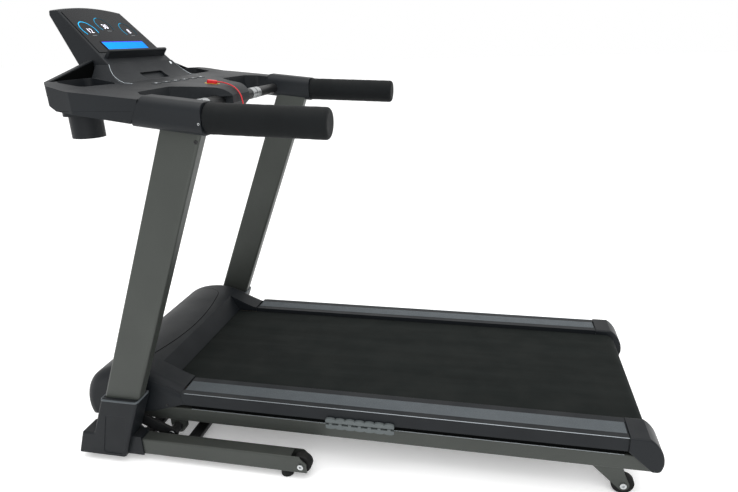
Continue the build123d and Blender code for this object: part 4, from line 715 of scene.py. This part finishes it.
@cache
def skin(node: str) -> BVHTree:
    """Search tree of a node's surface."""
    mesh = frame["nodes"][node].data
    return BVHTree.FromPolygons([v.co for v in mesh.vertices], [p.vertices[:] for p in mesh.polygons])


def seat(node: str, origin: Sequence[float], toward: Sequence[float]) -> tuple[Vector, Vector]:
    """Where a straight line first meets a node.

    Args:
        node: Name of the node.
        origin: Where the line starts.
        toward: The line's direction.

    Returns:
        The point on the node's surface and the surface's outward normal.
    """
    place, normal, _, _ = skin(node).ray_cast(Vector(origin), Vector(toward).normalized())
    if normal.dot(Vector(toward)) > 0:
        normal = -normal
    return place, normal


def on_skin(
    node: str, origin: Sequence[float], toward: Sequence[float], lift: float = ON_SURFACE
) -> Vector:
    """Where a straight line first meets a node, lifted off its surface."""
    place, normal = seat(node, origin, toward)
    return place + normal * lift


def dress(piece: bpy.types.Object, body: str, slot: str, look: str = "") -> None:
    """Gives a piece its material and body.

    Args:
        piece: The piece.
        body: Body that it rides on.
        slot: Record slot that it takes its finish from.
        look: Material, where it isn't the slot's own.
    """
    piece.data.materials.clear()
    piece.data.materials.append(MATERIALS[look or slot])
    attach(piece, body)
    LOG.info("%s rides on %s", piece.name, body)


def line_piece(
    name: str,
    points: Sequence[Sequence[float]],
    radius: float,
    cyclic: bool = False,
    kind: str = "POLY",
    fine: int = 3,
) -> bpy.types.Object:
    """A round line through points.

    Args:
        name: The piece's name.
        points: Its points, in order.
        radius: Its radius.
        cyclic: Whether it closes on itself.
        kind: The spline's type.
        fine: How finely its section is rounded.

    Returns:
        The new curve object.
    """
    curve = bpy.data.curves.new(name, "CURVE")
    curve.dimensions = "3D"
    curve.bevel_depth = radius
    curve.bevel_resolution = fine
    curve.use_fill_caps = True
    spline = curve.splines.new(kind)
    spline.points.add(len(points) - 1)
    for target, point in zip(spline.points, points):
        target.co = (*point, 1.0)
    spline.use_cyclic_u = cyclic
    piece = bpy.data.objects.new(name, curve)
    bpy.context.scene.collection.objects.link(piece)
    return piece


def number(name: str, digits: str, base: Matrix, high: float) -> bpy.types.Object:
    """Plain raised digits, centred on a base.

    Args:
        name: The piece's name.
        digits: The digits.
        base: The plane they stand on.
        high: Their type size.

    Returns:
        The new object.
    """
    curve = bpy.data.curves.new(name, "FONT")
    curve.body = digits
    curve.size = high
    curve.extrude = DIGIT_THICK
    curve.align_x = "CENTER"
    curve.align_y = "CENTER"
    writer = bpy.data.objects.new(f"{name}_writer", curve)
    mesh = bpy.data.meshes.new_from_object(writer)
    mesh.transform(base)
    bpy.data.objects.remove(writer)
    return link(name, mesh)


DARK_TUBES = ("lift_bracket", "base_cross_tubes", "deck_cross_members")


def dress_solids() -> None:
    """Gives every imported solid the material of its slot, and the low tubes a darker one."""
    for row in frame["record"]["subparts"]:
        look = "black_tube" if row["node"] in DARK_TUBES else row["material_slot"]
        mesh = frame["nodes"][row["node"]].data
        mesh.materials.clear()
        mesh.materials.append(MATERIALS[look])
        LOG.info("%s dressed in %s", row["node"], look)


@dataclass
class DisplayFace:
    """Dials, screen rim and marks on the leaning display."""

    top: Vector = Vector((-0.750, 0.0, 1.183))
    panel_out: float = 0.0015
    glass_out: float = 0.0023
    mark_thick: float = 0.0003
    dial_radius: float = 0.028
    dial_width: float = 0.0021
    dial_sweep: tuple[float, float] = (215.0, -35.0)
    number_high: float = 0.022
    number_down: float = 0.004
    rule_size: tuple[float, float, float] = (0.018, 0.0016, 0.0007)
    rule_down: float = 0.020
    screen_wide: float = 0.186
    screen_long: float = 0.030
    screen_down: float = 0.127
    rim_wide: float = 0.007
    rim_gap: float = 0.0006
    rim_rounds: tuple[float, float] = (0.004, 0.0022)
    rim_high: float = 0.0011
    edge_size: tuple[float, float, float] = (0.182, 0.0018, 0.0008)
    edge_in: float = 0.0012
    edge_thick: float = 0.0002

    def base(self, down: float, across: float, out: float) -> Matrix:
        """Base on the face: X to the runner's right, Y up the slope.

        Args:
            down: Place down the slope.
            across: Place across the face.
            out: Height over the face.

        Returns:
            The base.
        """
        slope = Vector((1, 0, -1)).normalized()
        normal = Vector((1, 0, 1)).normalized()
        place = self.top + slope * down + normal * out + Vector((0, across, 0))
        return upright(place, normal, Vector((0, 1, 0)))

    def dial(self, index: int, across: float, down: float, lit: float, glow: str, digits: str) -> None:
        """One dial: a lit arc, the rest of its sweep, its number and a rule below.

        Args:
            index: Number of the dial, for names.
            across: Place across the face.
            down: Place down the slope.
            lit: Share of the sweep that glows.
            glow: Material of the lit share.
            digits: The number it shows.
        """
        start, end = self.dial_sweep
        turn = start + (end - start) * lit
        base = self.base(down, across, self.panel_out)
        for part, look, first, last in (("lit", glow, start, turn), ("unlit", "dial_dim", turn, end)):
            outline = arc_band(self.dial_radius, self.dial_width, first, last)
            arc = plate(f"dial_{index}_{part}", outline, base, self.mark_thick)
            dress(arc, "base", "panel_gloss", look)
        centre = self.base(down + self.number_down, across, self.panel_out)
        count = number(f"dial_{index}_number", digits, centre, self.number_high)
        dress(count, "base", "panel_gloss", "digits_white")
        below = self.base(down + self.rule_down, across, self.panel_out)
        rule = plate(f"dial_{index}_rule", round_rect(*self.rule_size), below, self.mark_thick)
        dress(rule, "base", "panel_gloss", "printed_grey")

    def screen_rim(self) -> None:
        """A thin dark rim round the screen, and the violet edge along its top."""
        base = self.base(self.screen_down, 0.0, self.panel_out)
        outer, inner = (
            round_rect(self.screen_wide + more, self.screen_long + more, radius)
            for more, radius in zip((self.rim_wide, self.rim_gap), self.rim_rounds)
        )
        dress(ring_plate("screen_rim", outer, inner, base, self.rim_high), "base", "panel_gloss")
        top = self.base(self.screen_down - self.screen_long / 2 + self.edge_in, 0.0, self.glass_out)
        edge = plate("screen_edge", round_rect(*self.edge_size), top, self.edge_thick)
        dress(edge, "base", "screen_glass", "screen_edge")

    def build(self) -> None:
        """Builds all marks of the face."""
        self.dial(1, -0.090, 0.069, 0.95, "dial_bright", "12")
        self.dial(2, -0.009, 0.053, 0.5, "dial_soft", "30")
        self.dial(3, 0.080, 0.070, 0.5, "dial_soft", "8")
        self.screen_rim()


@dataclass
class ButtonRow:
    """Printed signs on the six buttons, and the mark round the safety key."""

    row_x: float = -0.512
    pitch: float = 0.048
    proud: float = 0.0016
    part_step: float = 0.00002
    sign_long: float = 0.009
    sign_line: float = 0.0016
    sign_round: float = 0.0007
    stop_size: tuple[float, float, float] = (0.007, 0.007, 0.001)
    key_x: float = -0.417
    mark_outer: tuple[float, float, float] = (0.028, 0.040, 0.012)
    mark_inner: tuple[float, float, float] = (0.023, 0.035, 0.0095)
    panel_rise: float = 17 / 168
    low_x: float = -0.400
    low_z: float = 0.989
    thick: float = 0.00025

    def base(self, x: float, y: float, out: float) -> Matrix:
        """Base on the sloping panel: X to the runner's right, Y away from the runner.

        Args:
            x: Place along the treadmill.
            y: Place across it.
            out: Height over the panel.

        Returns:
            The base.
        """
        normal = Vector((self.panel_rise, 0, 1)).normalized()
        z = self.low_z + (self.low_x - x) * self.panel_rise
        return upright(Vector((x, y, z)) + normal * out, normal, Vector((0, 1, 0)))

    def signs(self) -> dict[str, list[Outline]]:
        """Outlines of the sign on each button.

        Returns:
            The outlines by the button's name, in row order.
        """
        bar = round_rect(self.sign_long, self.sign_line, self.sign_round)
        post = round_rect(self.sign_line, self.sign_long, self.sign_round)
        up = [
            (-0.005, -0.003), (-0.0033, -0.003), (0.0, 0.001),
            (0.0033, -0.003), (0.005, -0.003), (0.0, 0.0035),
        ]
        down = [(x, -y) for x, y in up[:1] + up[:0:-1]]
        return {
            "start": [[(-0.003, -0.0042), (0.0045, 0.0), (-0.003, 0.0042)]],
            "speed_down": [bar],
            "speed_up": [bar, post],
            "incline_down": [down],
            "incline_up": [up],
            "stop": [round_rect(*self.stop_size)],
        }

    def build(self) -> None:
        """Builds the signs and the key's yellow mark."""
        signs = self.signs()
        for index, (button, outlines) in enumerate(signs.items()):
            y = (index - (len(signs) - 1) / 2) * self.pitch
            for part, outline in enumerate(outlines):
                base = self.base(self.row_x, y, self.proud + part * self.part_step)
                sign = plate(f"{button}_sign_{part + 1}", outline, base, self.thick)
                dress(sign, f"{button}_key", "button_plastic", "printed_white")
        outer = round_rect(*self.mark_outer)
        inner = round_rect(*self.mark_inner)
        mark = ring_plate("key_mark", outer, inner, self.base(self.key_x, 0.0, 0.0), self.thick)
        dress(mark, "base", "console_plastic", "printed_yellow")


@dataclass
class FoamGrip:
    """A foam sleeve on a handle tube, with soft round ends."""

    y: float = 0.369
    radius: float = 0.0336
    bore: float = 0.0165
    front: tuple[float, float] = (-0.2497, 0.944)
    rear: tuple[float, float] = (0.019, 0.933)
    end_round: float = 0.009
    end_steps: int = 8
    end_dimple: tuple[float, float] = (0.0012, 0.008)
    front_step: tuple[float, float] = (0.002, 0.003)
    ripple: float = 0.00022
    ripple_turns: tuple[float, float] = (190.0, 61.0)
    steps: int = 60
    count: int = 64

    def profile(self, long: float) -> list[tuple[float, float]]:
        """Places along the sleeve and their radii, for a sleeve of that length.

        Args:
            long: The sleeve's length.

        Returns:
            The profile, from front to rear.
        """
        ahead, step = self.front_step
        fast, slow = self.ripple_turns
        profile = [(0.0, self.bore), (0.0, self.radius - step)]
        for i in range(self.steps + 1):
            along = ahead + (long - self.end_round - ahead) * i / self.steps
            wave = self.ripple * math.sin(along * fast) * math.sin(along * slow)
            profile.append((along, self.radius - self.ripple + wave))
        for i in range(1, self.end_steps + 1):
            angle = math.pi / 2 * i / self.end_steps
            along = long - self.end_round + self.end_round * math.sin(angle)
            drop = self.end_round * (1 - math.cos(angle)) + self.ripple
            profile.append((along, self.radius - drop))
        back, radius = self.end_dimple
        profile.append((long - back, radius))
        return profile

    def build(self, side: int, name: str) -> None:
        """Builds the sleeve of one side.

        Args:
            side: -1 on the left, 1 on the right.
            name: Name of the side.
        """
        start = Vector((self.front[0], side * self.y, self.front[1]))
        finish = Vector((self.rear[0], side * self.y, self.rear[1]))
        axis = finish - start
        base = upright(start, axis, Vector((0, 1, 0)))
        grip = turned(f"grip_sleeve_{name}", self.profile(axis.length), base, self.count)
        dress(grip, "base", "grip_foam")
        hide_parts(f"foam_grip_{name}")


@dataclass
class SafetyCord:
    """The red cord from the safety key to its clip."""

    route: tuple[tuple[float, float, float], ...] = (
        (-0.402, 0.0, 0.9942),
        (-0.391, -0.002, 0.9945),
        (-0.374, -0.005, 0.991),
        (-0.352, -0.009, 0.984),
        (-0.335, -0.013, 0.970),
        (-0.326, -0.016, 0.951),
        (-0.324, -0.018, 0.930),
    )
    radius: float = 0.0016
    length: float = 0.116

    def build(self) -> None:
        """Builds the cord on one smooth line."""
        cord = line_piece("key_cord", self.route, self.radius, kind="NURBS", fine=4)
        spline = cord.data.splines[0]
        spline.order_u = 3
        spline.use_endpoint_u = True
        spline.resolution_u = 12
        dress(cord, "key", "key_red")
        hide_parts("safety_cord")
        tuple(self.route[0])


@dataclass
class RailStrips:
    """Ribbed satin strips let into the foot rails."""

    inner: float = 0.249
    outer: float = 0.2905
    ribs: int = 11
    rib_high: float = 0.0008
    rib_slant: float = 0.0003
    groove_share: float = 0.38
    thick: float = 0.0018

    def section(self, low: float, high: float) -> list[tuple[float, float]]:
        """Ribbed section across a strip, between its lowest and highest level.

        Args:
            low: The lowest level.
            high: The highest level.

        Returns:
            The section's points, as (y, z).
        """
        fall = max(0.0, high - low - self.thick)
        pitch = (self.outer - self.inner) / self.ribs
        land = pitch * (1 - self.groove_share)
        steps = ((0.0, 0.0), (self.rib_slant, 1.0), (land - self.rib_slant, 1.0), (land, 0.0))
        section = [(self.inner, high - self.thick)]
        for rib in range(self.ribs):
            for across, lift in steps:
                y = self.inner + rib * pitch + across
                drop = fall * (y - self.inner) / (self.outer - self.inner)
                section.append((y, high - self.rib_high * (1 - lift) - drop))
        section.append((self.outer, low))
        return section

    def build(self) -> None:
        """Builds the strips of both rails in place of the plain ones."""
        low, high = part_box("rail_strips")
        section = self.section(low.z, high.z)
        for side, name in SIDES:
            rings = [[Vector((x, side * y, z)) for y, z in section] for x in (low.x, high.x)]
            strip = swept(f"ribbed_strip_{name}", rings)
            dress(strip, "deck", "strip_plastic")
            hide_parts("rail_strips")


@dataclass
class CushionStrips:
    """Grey flank strips: a scalloped crest and a scalloped comb, with dark slots between them."""

    front: float = -0.053
    rear: float = 0.129
    low: float = 0.134
    high: float = 0.167
    inside: float = 0.3088
    thick: float = 0.0050
    crown: float = 0.0022
    scallops: int = 7
    scallop_deep: float = 0.0042
    scallop_steps: int = 10
    slot_half: float = 0.0026
    tooth_half: float = 0.0042
    crown_keep: float = 0.86

    @property
    def middle(self) -> float:
        """Level of the slots."""
        return (self.low + self.high) / 2

    @property
    def pitch(self) -> float:
        """Length of one scallop."""
        return (self.rear - self.front) / self.scallops

    def wave(self, level: float, sign: int) -> list[tuple[float, float]]:
        """A scalloped edge from front to rear, bulging up or down.

        Args:
            level: Level of the scallops' crowns.
            sign: 1 to bulge up, -1 to bulge down.

        Returns:
            The edge's points, as (x, z).
        """
        steps = self.scallop_steps * self.scallops
        edge = []
        for i in range(steps + 1):
            x = self.front + (self.rear - self.front) * i / steps
            bulge = math.sqrt(abs(math.sin(math.pi * (x - self.front) / self.pitch)))
            edge.append((x, level - sign * self.scallop_deep * (1 - bulge)))
        return edge

    def comb(self) -> list[tuple[float, float]]:
        """Outline of the lower half, whose teeth reach the upper half.

        Returns:
            The outline, as (x, z).
        """
        middle = self.middle
        outline = self.wave(self.low, -1)
        outline.append((self.rear, middle - self.slot_half))
        for i in reversed(range(self.scallops)):
            centre = self.front + (i + 0.5) * self.pitch
            for across, lift in ((1, -1), (1, 1), (-1, 1), (-1, -1)):
                outline.append((centre + across * self.tooth_half, middle + lift * self.slot_half))
        outline.append((self.front, middle - self.slot_half))
        return outline

    def crest(self) -> list[tuple[float, float]]:
        """Outline of the upper half."""
        foot = self.middle + self.slot_half
        return [(self.rear, foot), (self.front, foot)] + self.wave(self.high, 1)

    def build(self) -> None:
        """Builds both halves on both flanks."""
        levels = ((0.0, 1.0), (self.thick, 1.0), (self.thick + self.crown, self.crown_keep))
        for side, name in SIDES:
            for half, outline in (("crest", self.crest()), ("comb", self.comb())):
                heart = (min(z for _, z in outline) + max(z for _, z in outline)) / 2
                rings = []
                for out, keep in levels:
                    y = side * (self.inside + out)
                    rings.append([Vector((x, y, heart + (z - heart) * keep)) for x, z in outline])
                strip = swept(f"cushion_{half}_{name}", rings)
                dress(strip, "deck", "grey_rubber")
                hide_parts("cushion_strips")


@dataclass
class DeckEdges:
    """Painted highlights as bright lines along the top edges of the rails and deck tubes, and painted
    shade as dark sheets in the gaps between them.
    """

    front: float = -0.455
    rear: float = 0.692
    rail_edge: tuple[float, float] = (0.3085, 0.1945)
    tube_edge: tuple[float, float] = (0.2860, 0.1290)
    edge_radius: float = 0.0008
    reach: float = 0.1
    seal_y: float = 0.2824
    seal_low: float = 0.1292
    seal_high: float = 0.1600
    seal_thick: float = 0.0008

    def build(self) -> None:
        """Builds the highlight lines and gap shade sheets of both sides."""
        for side, name in SIDES:
            for part, node, (y, z), slot in (
                ("rail", f"side_rail_{name}", self.rail_edge, "cover_plastic"),
                ("tube", f"deck_tube_{name}", self.tube_edge, "mast_paint"),
            ):
                ends = []
                for x in (self.front, self.rear):
                    origin = (x, side * (y + self.reach), z + self.reach)
                    ends.append(on_skin(node, origin, (0, -side, -1)))
                # Painted highlight: a thin bright line along the rounded top edge.
                edge = line_piece(f"{part}_edge_{name}", ends, self.edge_radius)
                dress(edge, "deck", slot, "silver_trim_and_highlight")
            # Painted shade: a near-black sheet in the gap between rail and tube, where the gap lies in
            # shadow.
            corners = [(x, self.seal_low) for x in (self.front, self.rear)]
            corners += [(x, self.seal_high) for x in (self.rear, self.front)]
            rings = []
            for y in (self.seal_y, self.seal_y + self.seal_thick):
                rings.append([Vector((x, side * y, z)) for x, z in corners])
            dress(swept(f"rail_seal_{name}", rings), "deck", "black_rubber", "seam_shadow")


@dataclass
class BootLips:
    """Rounded lips round the tops of the mast boots, in a lighter plastic that paints the highlight on
    their tops.
    """

    level: float = 0.2040
    middle_y: float = 0.3565
    radius: float = 0.0030
    count: int = 48
    reach: float = 0.3
    far: float = 2.0

    def build(self) -> None:
        """Seats a lip on each boot."""
        for side, name in SIDES:
            node = f"mast_boot_{name}"
            front, _ = seat(node, (-self.far, side * self.middle_y, self.level), (1, 0, 0))
            rear, _ = seat(node, (self.far, side * self.middle_y, self.level), (-1, 0, 0))
            centre = (front + rear) / 2
            points = []
            for i in range(self.count):
                angle = 2 * math.pi * i / self.count
                away = Vector((math.cos(angle), math.sin(angle), 0.0))
                place, _ = seat(node, centre + away * self.reach, -away)
                points.append(place)
            lip = line_piece(f"boot_lip_{name}", points, self.radius, cyclic=True)
            # The lighter strip plastic is painted highlight along the lip's rounded top.
            dress(lip, "base", "cover_plastic", "strip_plastic")


@dataclass
class Fasteners:
    """Screws and bolts that stand in the covers and brackets."""

    reach: float = 2.0
    foot: float = 0.0008
    flush_rise: float = 0.00005
    pin_hole: float = 0.0002
    rise_share: float = 0.35
    count: int = 24

    def screw(
        self, name: str, place: Vector, normal: Vector, radius: float, flush: bool
    ) -> bpy.types.Object:
        """A low round head with a round socket, let into the surface where it is flush.

        Args:
            name: The screw's name.
            place: Where it stands on the surface.
            normal: The surface's outward normal.
            radius: Radius of its head.
            flush: Whether its head is let into the surface.

        Returns:
            The screw.
        """
        rise = self.rise_share * radius
        sunk = rise - self.flush_rise if flush else 0.0
        base = upright(place - normal * sunk, normal, Vector((1, 0, 0.3)))
        head = [(-self.foot, radius), (0.6 * rise, radius), (rise, 0.82 * radius), (rise, 0.5 * radius)]
        socket = [(0.2 * rise, 0.46 * radius), (0.2 * rise, self.pin_hole)]
        return turned(name, head + socket, base, self.count)

    def build(self) -> None:
        """Seats the screws of both sides."""
        rows = (
            ("arm_screw", "arm_cover_{}", (-0.256, 0.9365), 0.0030, True, "base", "bright_steel"),
            ("console_screw", "console_base", (-0.4255, 0.943), 0.0034, True, "base", "black_tube"),
            ("mast_screw", "mast_{}", (-0.283, 0.894), 0.0045, False, "base", "black_tube"),
            ("hood_screw", "motor_hood", (-0.514, 0.150), 0.0036, False, "deck", "black_tube"),
            ("lift_bolt", "lift_bracket", (-0.509, 0.062), 0.0085, False, "lift", "bright_steel"),
        )
        for side, name in SIDES:
            for piece, node, (x, z), radius, flush, body, slot in rows:
                start = (x, side * self.reach, z)
                place, normal = seat(node.format(name), start, (0, -side, 0))
                screw = self.screw(f"{piece}_{name}", place, normal, radius, flush)
                dress(screw, body, slot)


@dataclass
class HoodLid:
    """The raised lid on top of the motor hood, with the seam round it and the creases of the flanks."""

    front: float = -0.710
    rear: float = -0.574
    rear_bow: float = 0.032
    half: float = 0.250
    half_gain: float = 0.015
    corner: float = 0.030
    proud: float = 0.0009
    sunk: float = 0.0012
    steps: tuple[int, int] = (14, 48)
    side_steps: int = 8
    seam_radius: float = 0.0009
    crease_radius: float = 0.0011
    above: float = 1.0
    crease: Outline = ((-0.557, 0.222), (-0.521, 0.210), (-0.495, 0.200), (-0.469, 0.188))

    def plan(self, along: float, across: float) -> tuple[float, float]:
        """Place on the lid's plan.

        Args:
            along: Share of the way from rear to front.
            across: Share across, from -1 to 1.

        Returns:
            The place, as (x, y).
        """
        past = max(0.0, abs(across) * self.half - self.half + self.corner)
        pull = self.corner - math.sqrt(self.corner ** 2 - past ** 2)
        rear = self.rear - self.rear_bow * across ** 2 - pull
        front = self.front + pull
        x = rear + (front - rear) * along
        share = (self.rear - x) / (self.rear - self.front)
        return x, across * (self.half + self.half_gain * (2 * share - 1))

    def on_hood(self, x: float, y: float, lift: float) -> Vector:
        """Point over the hood's top, lifted off it."""
        return on_skin("motor_hood", (x, y, self.above), (0, 0, -1), lift)

    def lid(self) -> None:
        """The lid as a closed shell that follows the hood."""
        rows, columns = self.steps
        points = []
        for lift in (self.proud, -self.sunk):
            for i in range(rows + 1):
                for j in range(columns + 1):
                    points.append(self.on_hood(*self.plan(i / rows, 2 * j / columns - 1), lift))
        wide = columns + 1
        under = (rows + 1) * wide
        faces = []
        for i in range(rows):
            for j in range(columns):
                quad = (i * wide + j, i * wide + j + 1, (i + 1) * wide + j + 1, (i + 1) * wide + j)
                faces.append(quad)
                faces.append(tuple(k + under for k in reversed(quad)))
        rim = self.rim_order(wide)
        for k, n in zip(rim, rim[1:] + rim[:1]):
            faces.append((k, k + under, n + under, n))
        dress(solid("hood_lid", points, faces), "deck", "cover_plastic")

    def rim_order(self, wide: int) -> list[int]:
        """Corner numbers along the border of the top sheet.

        Args:
            wide: Corners in a row across.

        Returns:
            The numbers, in order round the border.
        """
        rows = self.steps[0]
        rear = list(range(wide))
        right = [i * wide + wide - 1 for i in range(1, rows)]
        front = [rows * wide + j for j in reversed(range(wide))]
        left = [i * wide for i in reversed(range(1, rows))]
        return rear + right + front + left

    def seam(self) -> None:
        """The dark line round the lid: painted shade of the gap."""
        count = self.steps[1]
        rear = [(0.0, 2 * j / count - 1) for j in range(count + 1)]
        sides = [i / self.side_steps for i in range(1, self.side_steps)]
        border = rear + [(along, 1.0) for along in sides]
        border += [(1.0, across) for _, across in reversed(rear)]
        border += [(along, -1.0) for along in reversed(sides)]
        points = [self.on_hood(*self.plan(*share), ON_SURFACE) for share in border]
        seam = line_piece("hood_lid_seam", points, self.seam_radius, cyclic=True)
        dress(seam, "deck", "cover_plastic", "seam_shadow")

    def build(self) -> None:
        """Builds the lid, its seam and the creases."""
        self.lid()
        self.seam()
        for side, name in SIDES:
            points = [on_skin("motor_hood", (x, side, z), (0, -side, 0)) for x, z in self.crease]
            crease = line_piece(f"hood_crease_{name}", points, self.crease_radius)
            dress(crease, "deck", "cover_plastic")


@dataclass
class ConsoleTrim:
    """Bright trim along the riser's edges, shell seams drawn as painted shade, painted shade on the cup
    wings' inner faces, and a lamp window.
    """

    edge: Outline = ((-0.617, 0.1522), (-0.604, 0.168), (-0.590, 0.181), (-0.548, 0.169))
    edge_steps: int = 24
    wing: Outline = (
        (0.1535, 1.0208),
        (0.1535, 1.0585),
        (0.1690, 1.0550),
        (0.3080, 1.0212),
        (0.3080, 1.0208),
    )
    wing_x: float = -0.6599
    lining_thick: float = 0.0008
    trim_radius: float = 0.0009
    seam_radius: float = 0.0012
    seam_sunk: float = 0.00115
    seam_z: float = 0.963
    seam_front: float = -0.590
    seam_rear: float = -0.405
    seam_steps: int = 12
    lamp_place: tuple[float, float] = (-0.613, 0.138)
    lamp_size: tuple[float, float, float] = (0.009, 0.008, 0.001)
    lamp_thick: float = 0.0003
    above: float = 1.5

    def bend(self) -> list[tuple[float, float]]:
        """Points along the smooth line that the edge's four corners pull into shape.

        Returns:
            The points, as (x, y).
        """
        points = []
        for i in range(self.edge_steps + 1):
            t = i / self.edge_steps
            shares = ((1 - t) ** 3, 3 * t * (1 - t) ** 2, 3 * t ** 2 * (1 - t), t ** 3)
            x = sum(share * corner[0] for share, corner in zip(shares, self.edge))
            y = sum(share * corner[1] for share, corner in zip(shares, self.edge))
            points.append((x, y))
        return points

    def trim(self, side: int, name: str) -> None:
        """The bright line down one edge of the riser.

        Args:
            side: -1 on the left, 1 on the right.
            name: Name of the side.
        """
        points = []
        for x, y in self.bend():
            points.append(on_skin("console_top", (x, side * y, self.above), (0, 0, -1)))
        trim = line_piece(f"riser_trim_{name}", points, self.trim_radius)
        dress(trim, "base", "bright_steel", "silver_trim_and_highlight")

    def seam(self, side: int, name: str) -> None:
        """The dark line where the console's shells meet on one side: painted shade of the crease
        between them.

        Args:
            side: -1 on the left, 1 on the right.
            name: Name of the side.
        """
        points = []
        for i in range(self.seam_steps + 1):
            x = self.seam_front + (self.seam_rear - self.seam_front) * i / self.seam_steps
            place, _ = seat("console_top", (x, side, self.seam_z), (0, -side, 0))
            points.append(place - Vector((0, side * self.seam_sunk, 0)))
        seam = line_piece(f"shell_seam_{name}", points, self.seam_radius)
        dress(seam, "base", "console_plastic", "seam_shadow")

    def lining(self, side: int, name: str) -> None:
        """A near-black sheet on the inner face of one wing: painted shade of the wing's shadowed
        hollow.

        Args:
            side: -1 on the left, 1 on the right.
            name: Name of the side.
        """
        facing = upright(Vector((self.wing_x, 0.0, 0.0)), Vector((1, 0, 0)), Vector((0, 1, 0)))
        outline = [(side * y, z) for y, z in self.wing]
        # Painted shade: a near-black sheet on the wing's inner face, which lies in shadow.
        lining = plate(f"cup_lining_{name}", outline, facing, self.lining_thick)
        dress(lining, "base", "black_rubber", "seam_shadow")

    def window(self) -> None:
        """The small lamp window beside the riser."""
        place, normal = seat("console_top", (*self.lamp_place, self.above), (0, 0, -1))
        base = upright(place, normal, Vector((0, 1, 0)))
        window = plate("lamp_window", round_rect(*self.lamp_size), base, self.lamp_thick)
        dress(window, "base", "console_plastic", "printed_white")

    def build(self) -> None:
        """Builds the trim, the seams, the painted shade sheets of the cup wings and the lamp window."""
        for side, name in SIDES:
            self.trim(side, name)
            self.seam(side, name)
            self.lining(side, name)
        self.window()


@dataclass
class Studio:
    """Floor, light and camera."""

    eye: Vector = Vector((0.3504, -1.5244, 1.0939))
    azimuth: float = math.radians(-12.036)
    dip: float = math.radians(20.337)
    roll: float = math.radians(-1.649)
    lens: float = 28.17
    shift: tuple[float, float] = (-0.008, 0.009)
    sensor: float = 36.0
    floor_half: float = 30.0
    floor_glow: float = 0.22
    aim: Vector = Vector((0, 0, 0.6))

    def camera(self) -> None:
        """Puts the camera where the photograph was taken."""
        data = bpy.data.cameras.new("camera")
        data.lens = self.lens
        data.sensor_width = self.sensor
        data.shift_x, data.shift_y = self.shift
        ahead = Vector((
            math.sin(self.azimuth) * math.cos(self.dip),
            math.cos(self.azimuth) * math.cos(self.dip),
            -math.sin(self.dip),
        ))
        level = Vector((math.cos(self.azimuth), -math.sin(self.azimuth), 0.0))
        above = level.cross(ahead)
        right = math.cos(self.roll) * level + math.sin(self.roll) * above
        up = math.cos(self.roll) * above - math.sin(self.roll) * level
        camera = bpy.data.objects.new("camera", data)
        camera.matrix_world = Matrix((right, up, -ahead)).transposed().to_4x4()
        camera.location = self.eye
        bpy.context.scene.collection.objects.link(camera)
        bpy.context.scene.camera = camera

    def floor(self) -> None:
        """A wide pale floor."""
        reach = self.floor_half
        corners = [
            Vector((x, y, 0.0))
            for x, y in ((-reach, -reach), (reach, -reach), (reach, reach), (-reach, reach))
        ]
        floor = solid("floor", corners, [(0, 1, 2, 3)])
        paint = Finish("floor_paint", "fbfbfb", Texture.MOULDED, 0.8, mottle=0.5, contrast=0.01,
                       dusty=0.0, rubbed=0.0)
        material = paint.material()
        shader = material.node_tree.nodes["Principled BSDF"]
        shader.inputs["Emission Color"].default_value = WHITE
        shader.inputs["Emission Strength"].default_value = self.floor_glow
        floor.data.materials.append(material)

    def light(self) -> None:
        """Soft white light all round, with a large lamp above and one behind the camera."""
        world = bpy.data.worlds.new("studio")
        world.use_nodes = True
        background = world.node_tree.nodes["Background"]
        background.inputs["Color"].default_value = WHITE
        background.inputs["Strength"].default_value = 1.0
        bpy.context.scene.world = world
        for name, place, size, power in (
            ("top_lamp", Vector((0.2, -0.6, 3.4)), 3.0, 70.0),
            ("front_lamp", Vector((1.0, -3.4, 2.4)), 2.6, 40.0),
        ):
            data = bpy.data.lights.new(name, "AREA")
            data.size = size
            data.energy = power
            lamp = bpy.data.objects.new(name, data)
            lamp.location = place
            lamp.rotation_mode = "QUATERNION"
            lamp.rotation_quaternion = (self.aim - place).to_track_quat("-Z", "Y")
            bpy.context.scene.collection.objects.link(lamp)
        bpy.context.scene.view_settings.view_transform = "Standard"

    def build(self) -> None:
        """Builds the studio."""
        self.camera()
        self.floor()
        self.light()


def main() -> None:
    """Builds the looks in order."""
    logging.basicConfig(level=logging.INFO, format="%(message)s")
    Studio().build()
    SafetyCord().build()
    dress_solids()
    DisplayFace().build()
    ButtonRow().build()
    for side, name in SIDES:
        FoamGrip().build(side, name)
    RailStrips().build()
    CushionStrips().build()
    DeckEdges().build()
    BootLips().build()
    HoodLid().build()
    ConsoleTrim().build()
    Fasteners().build()


if __name__ == "__main__":
    main()
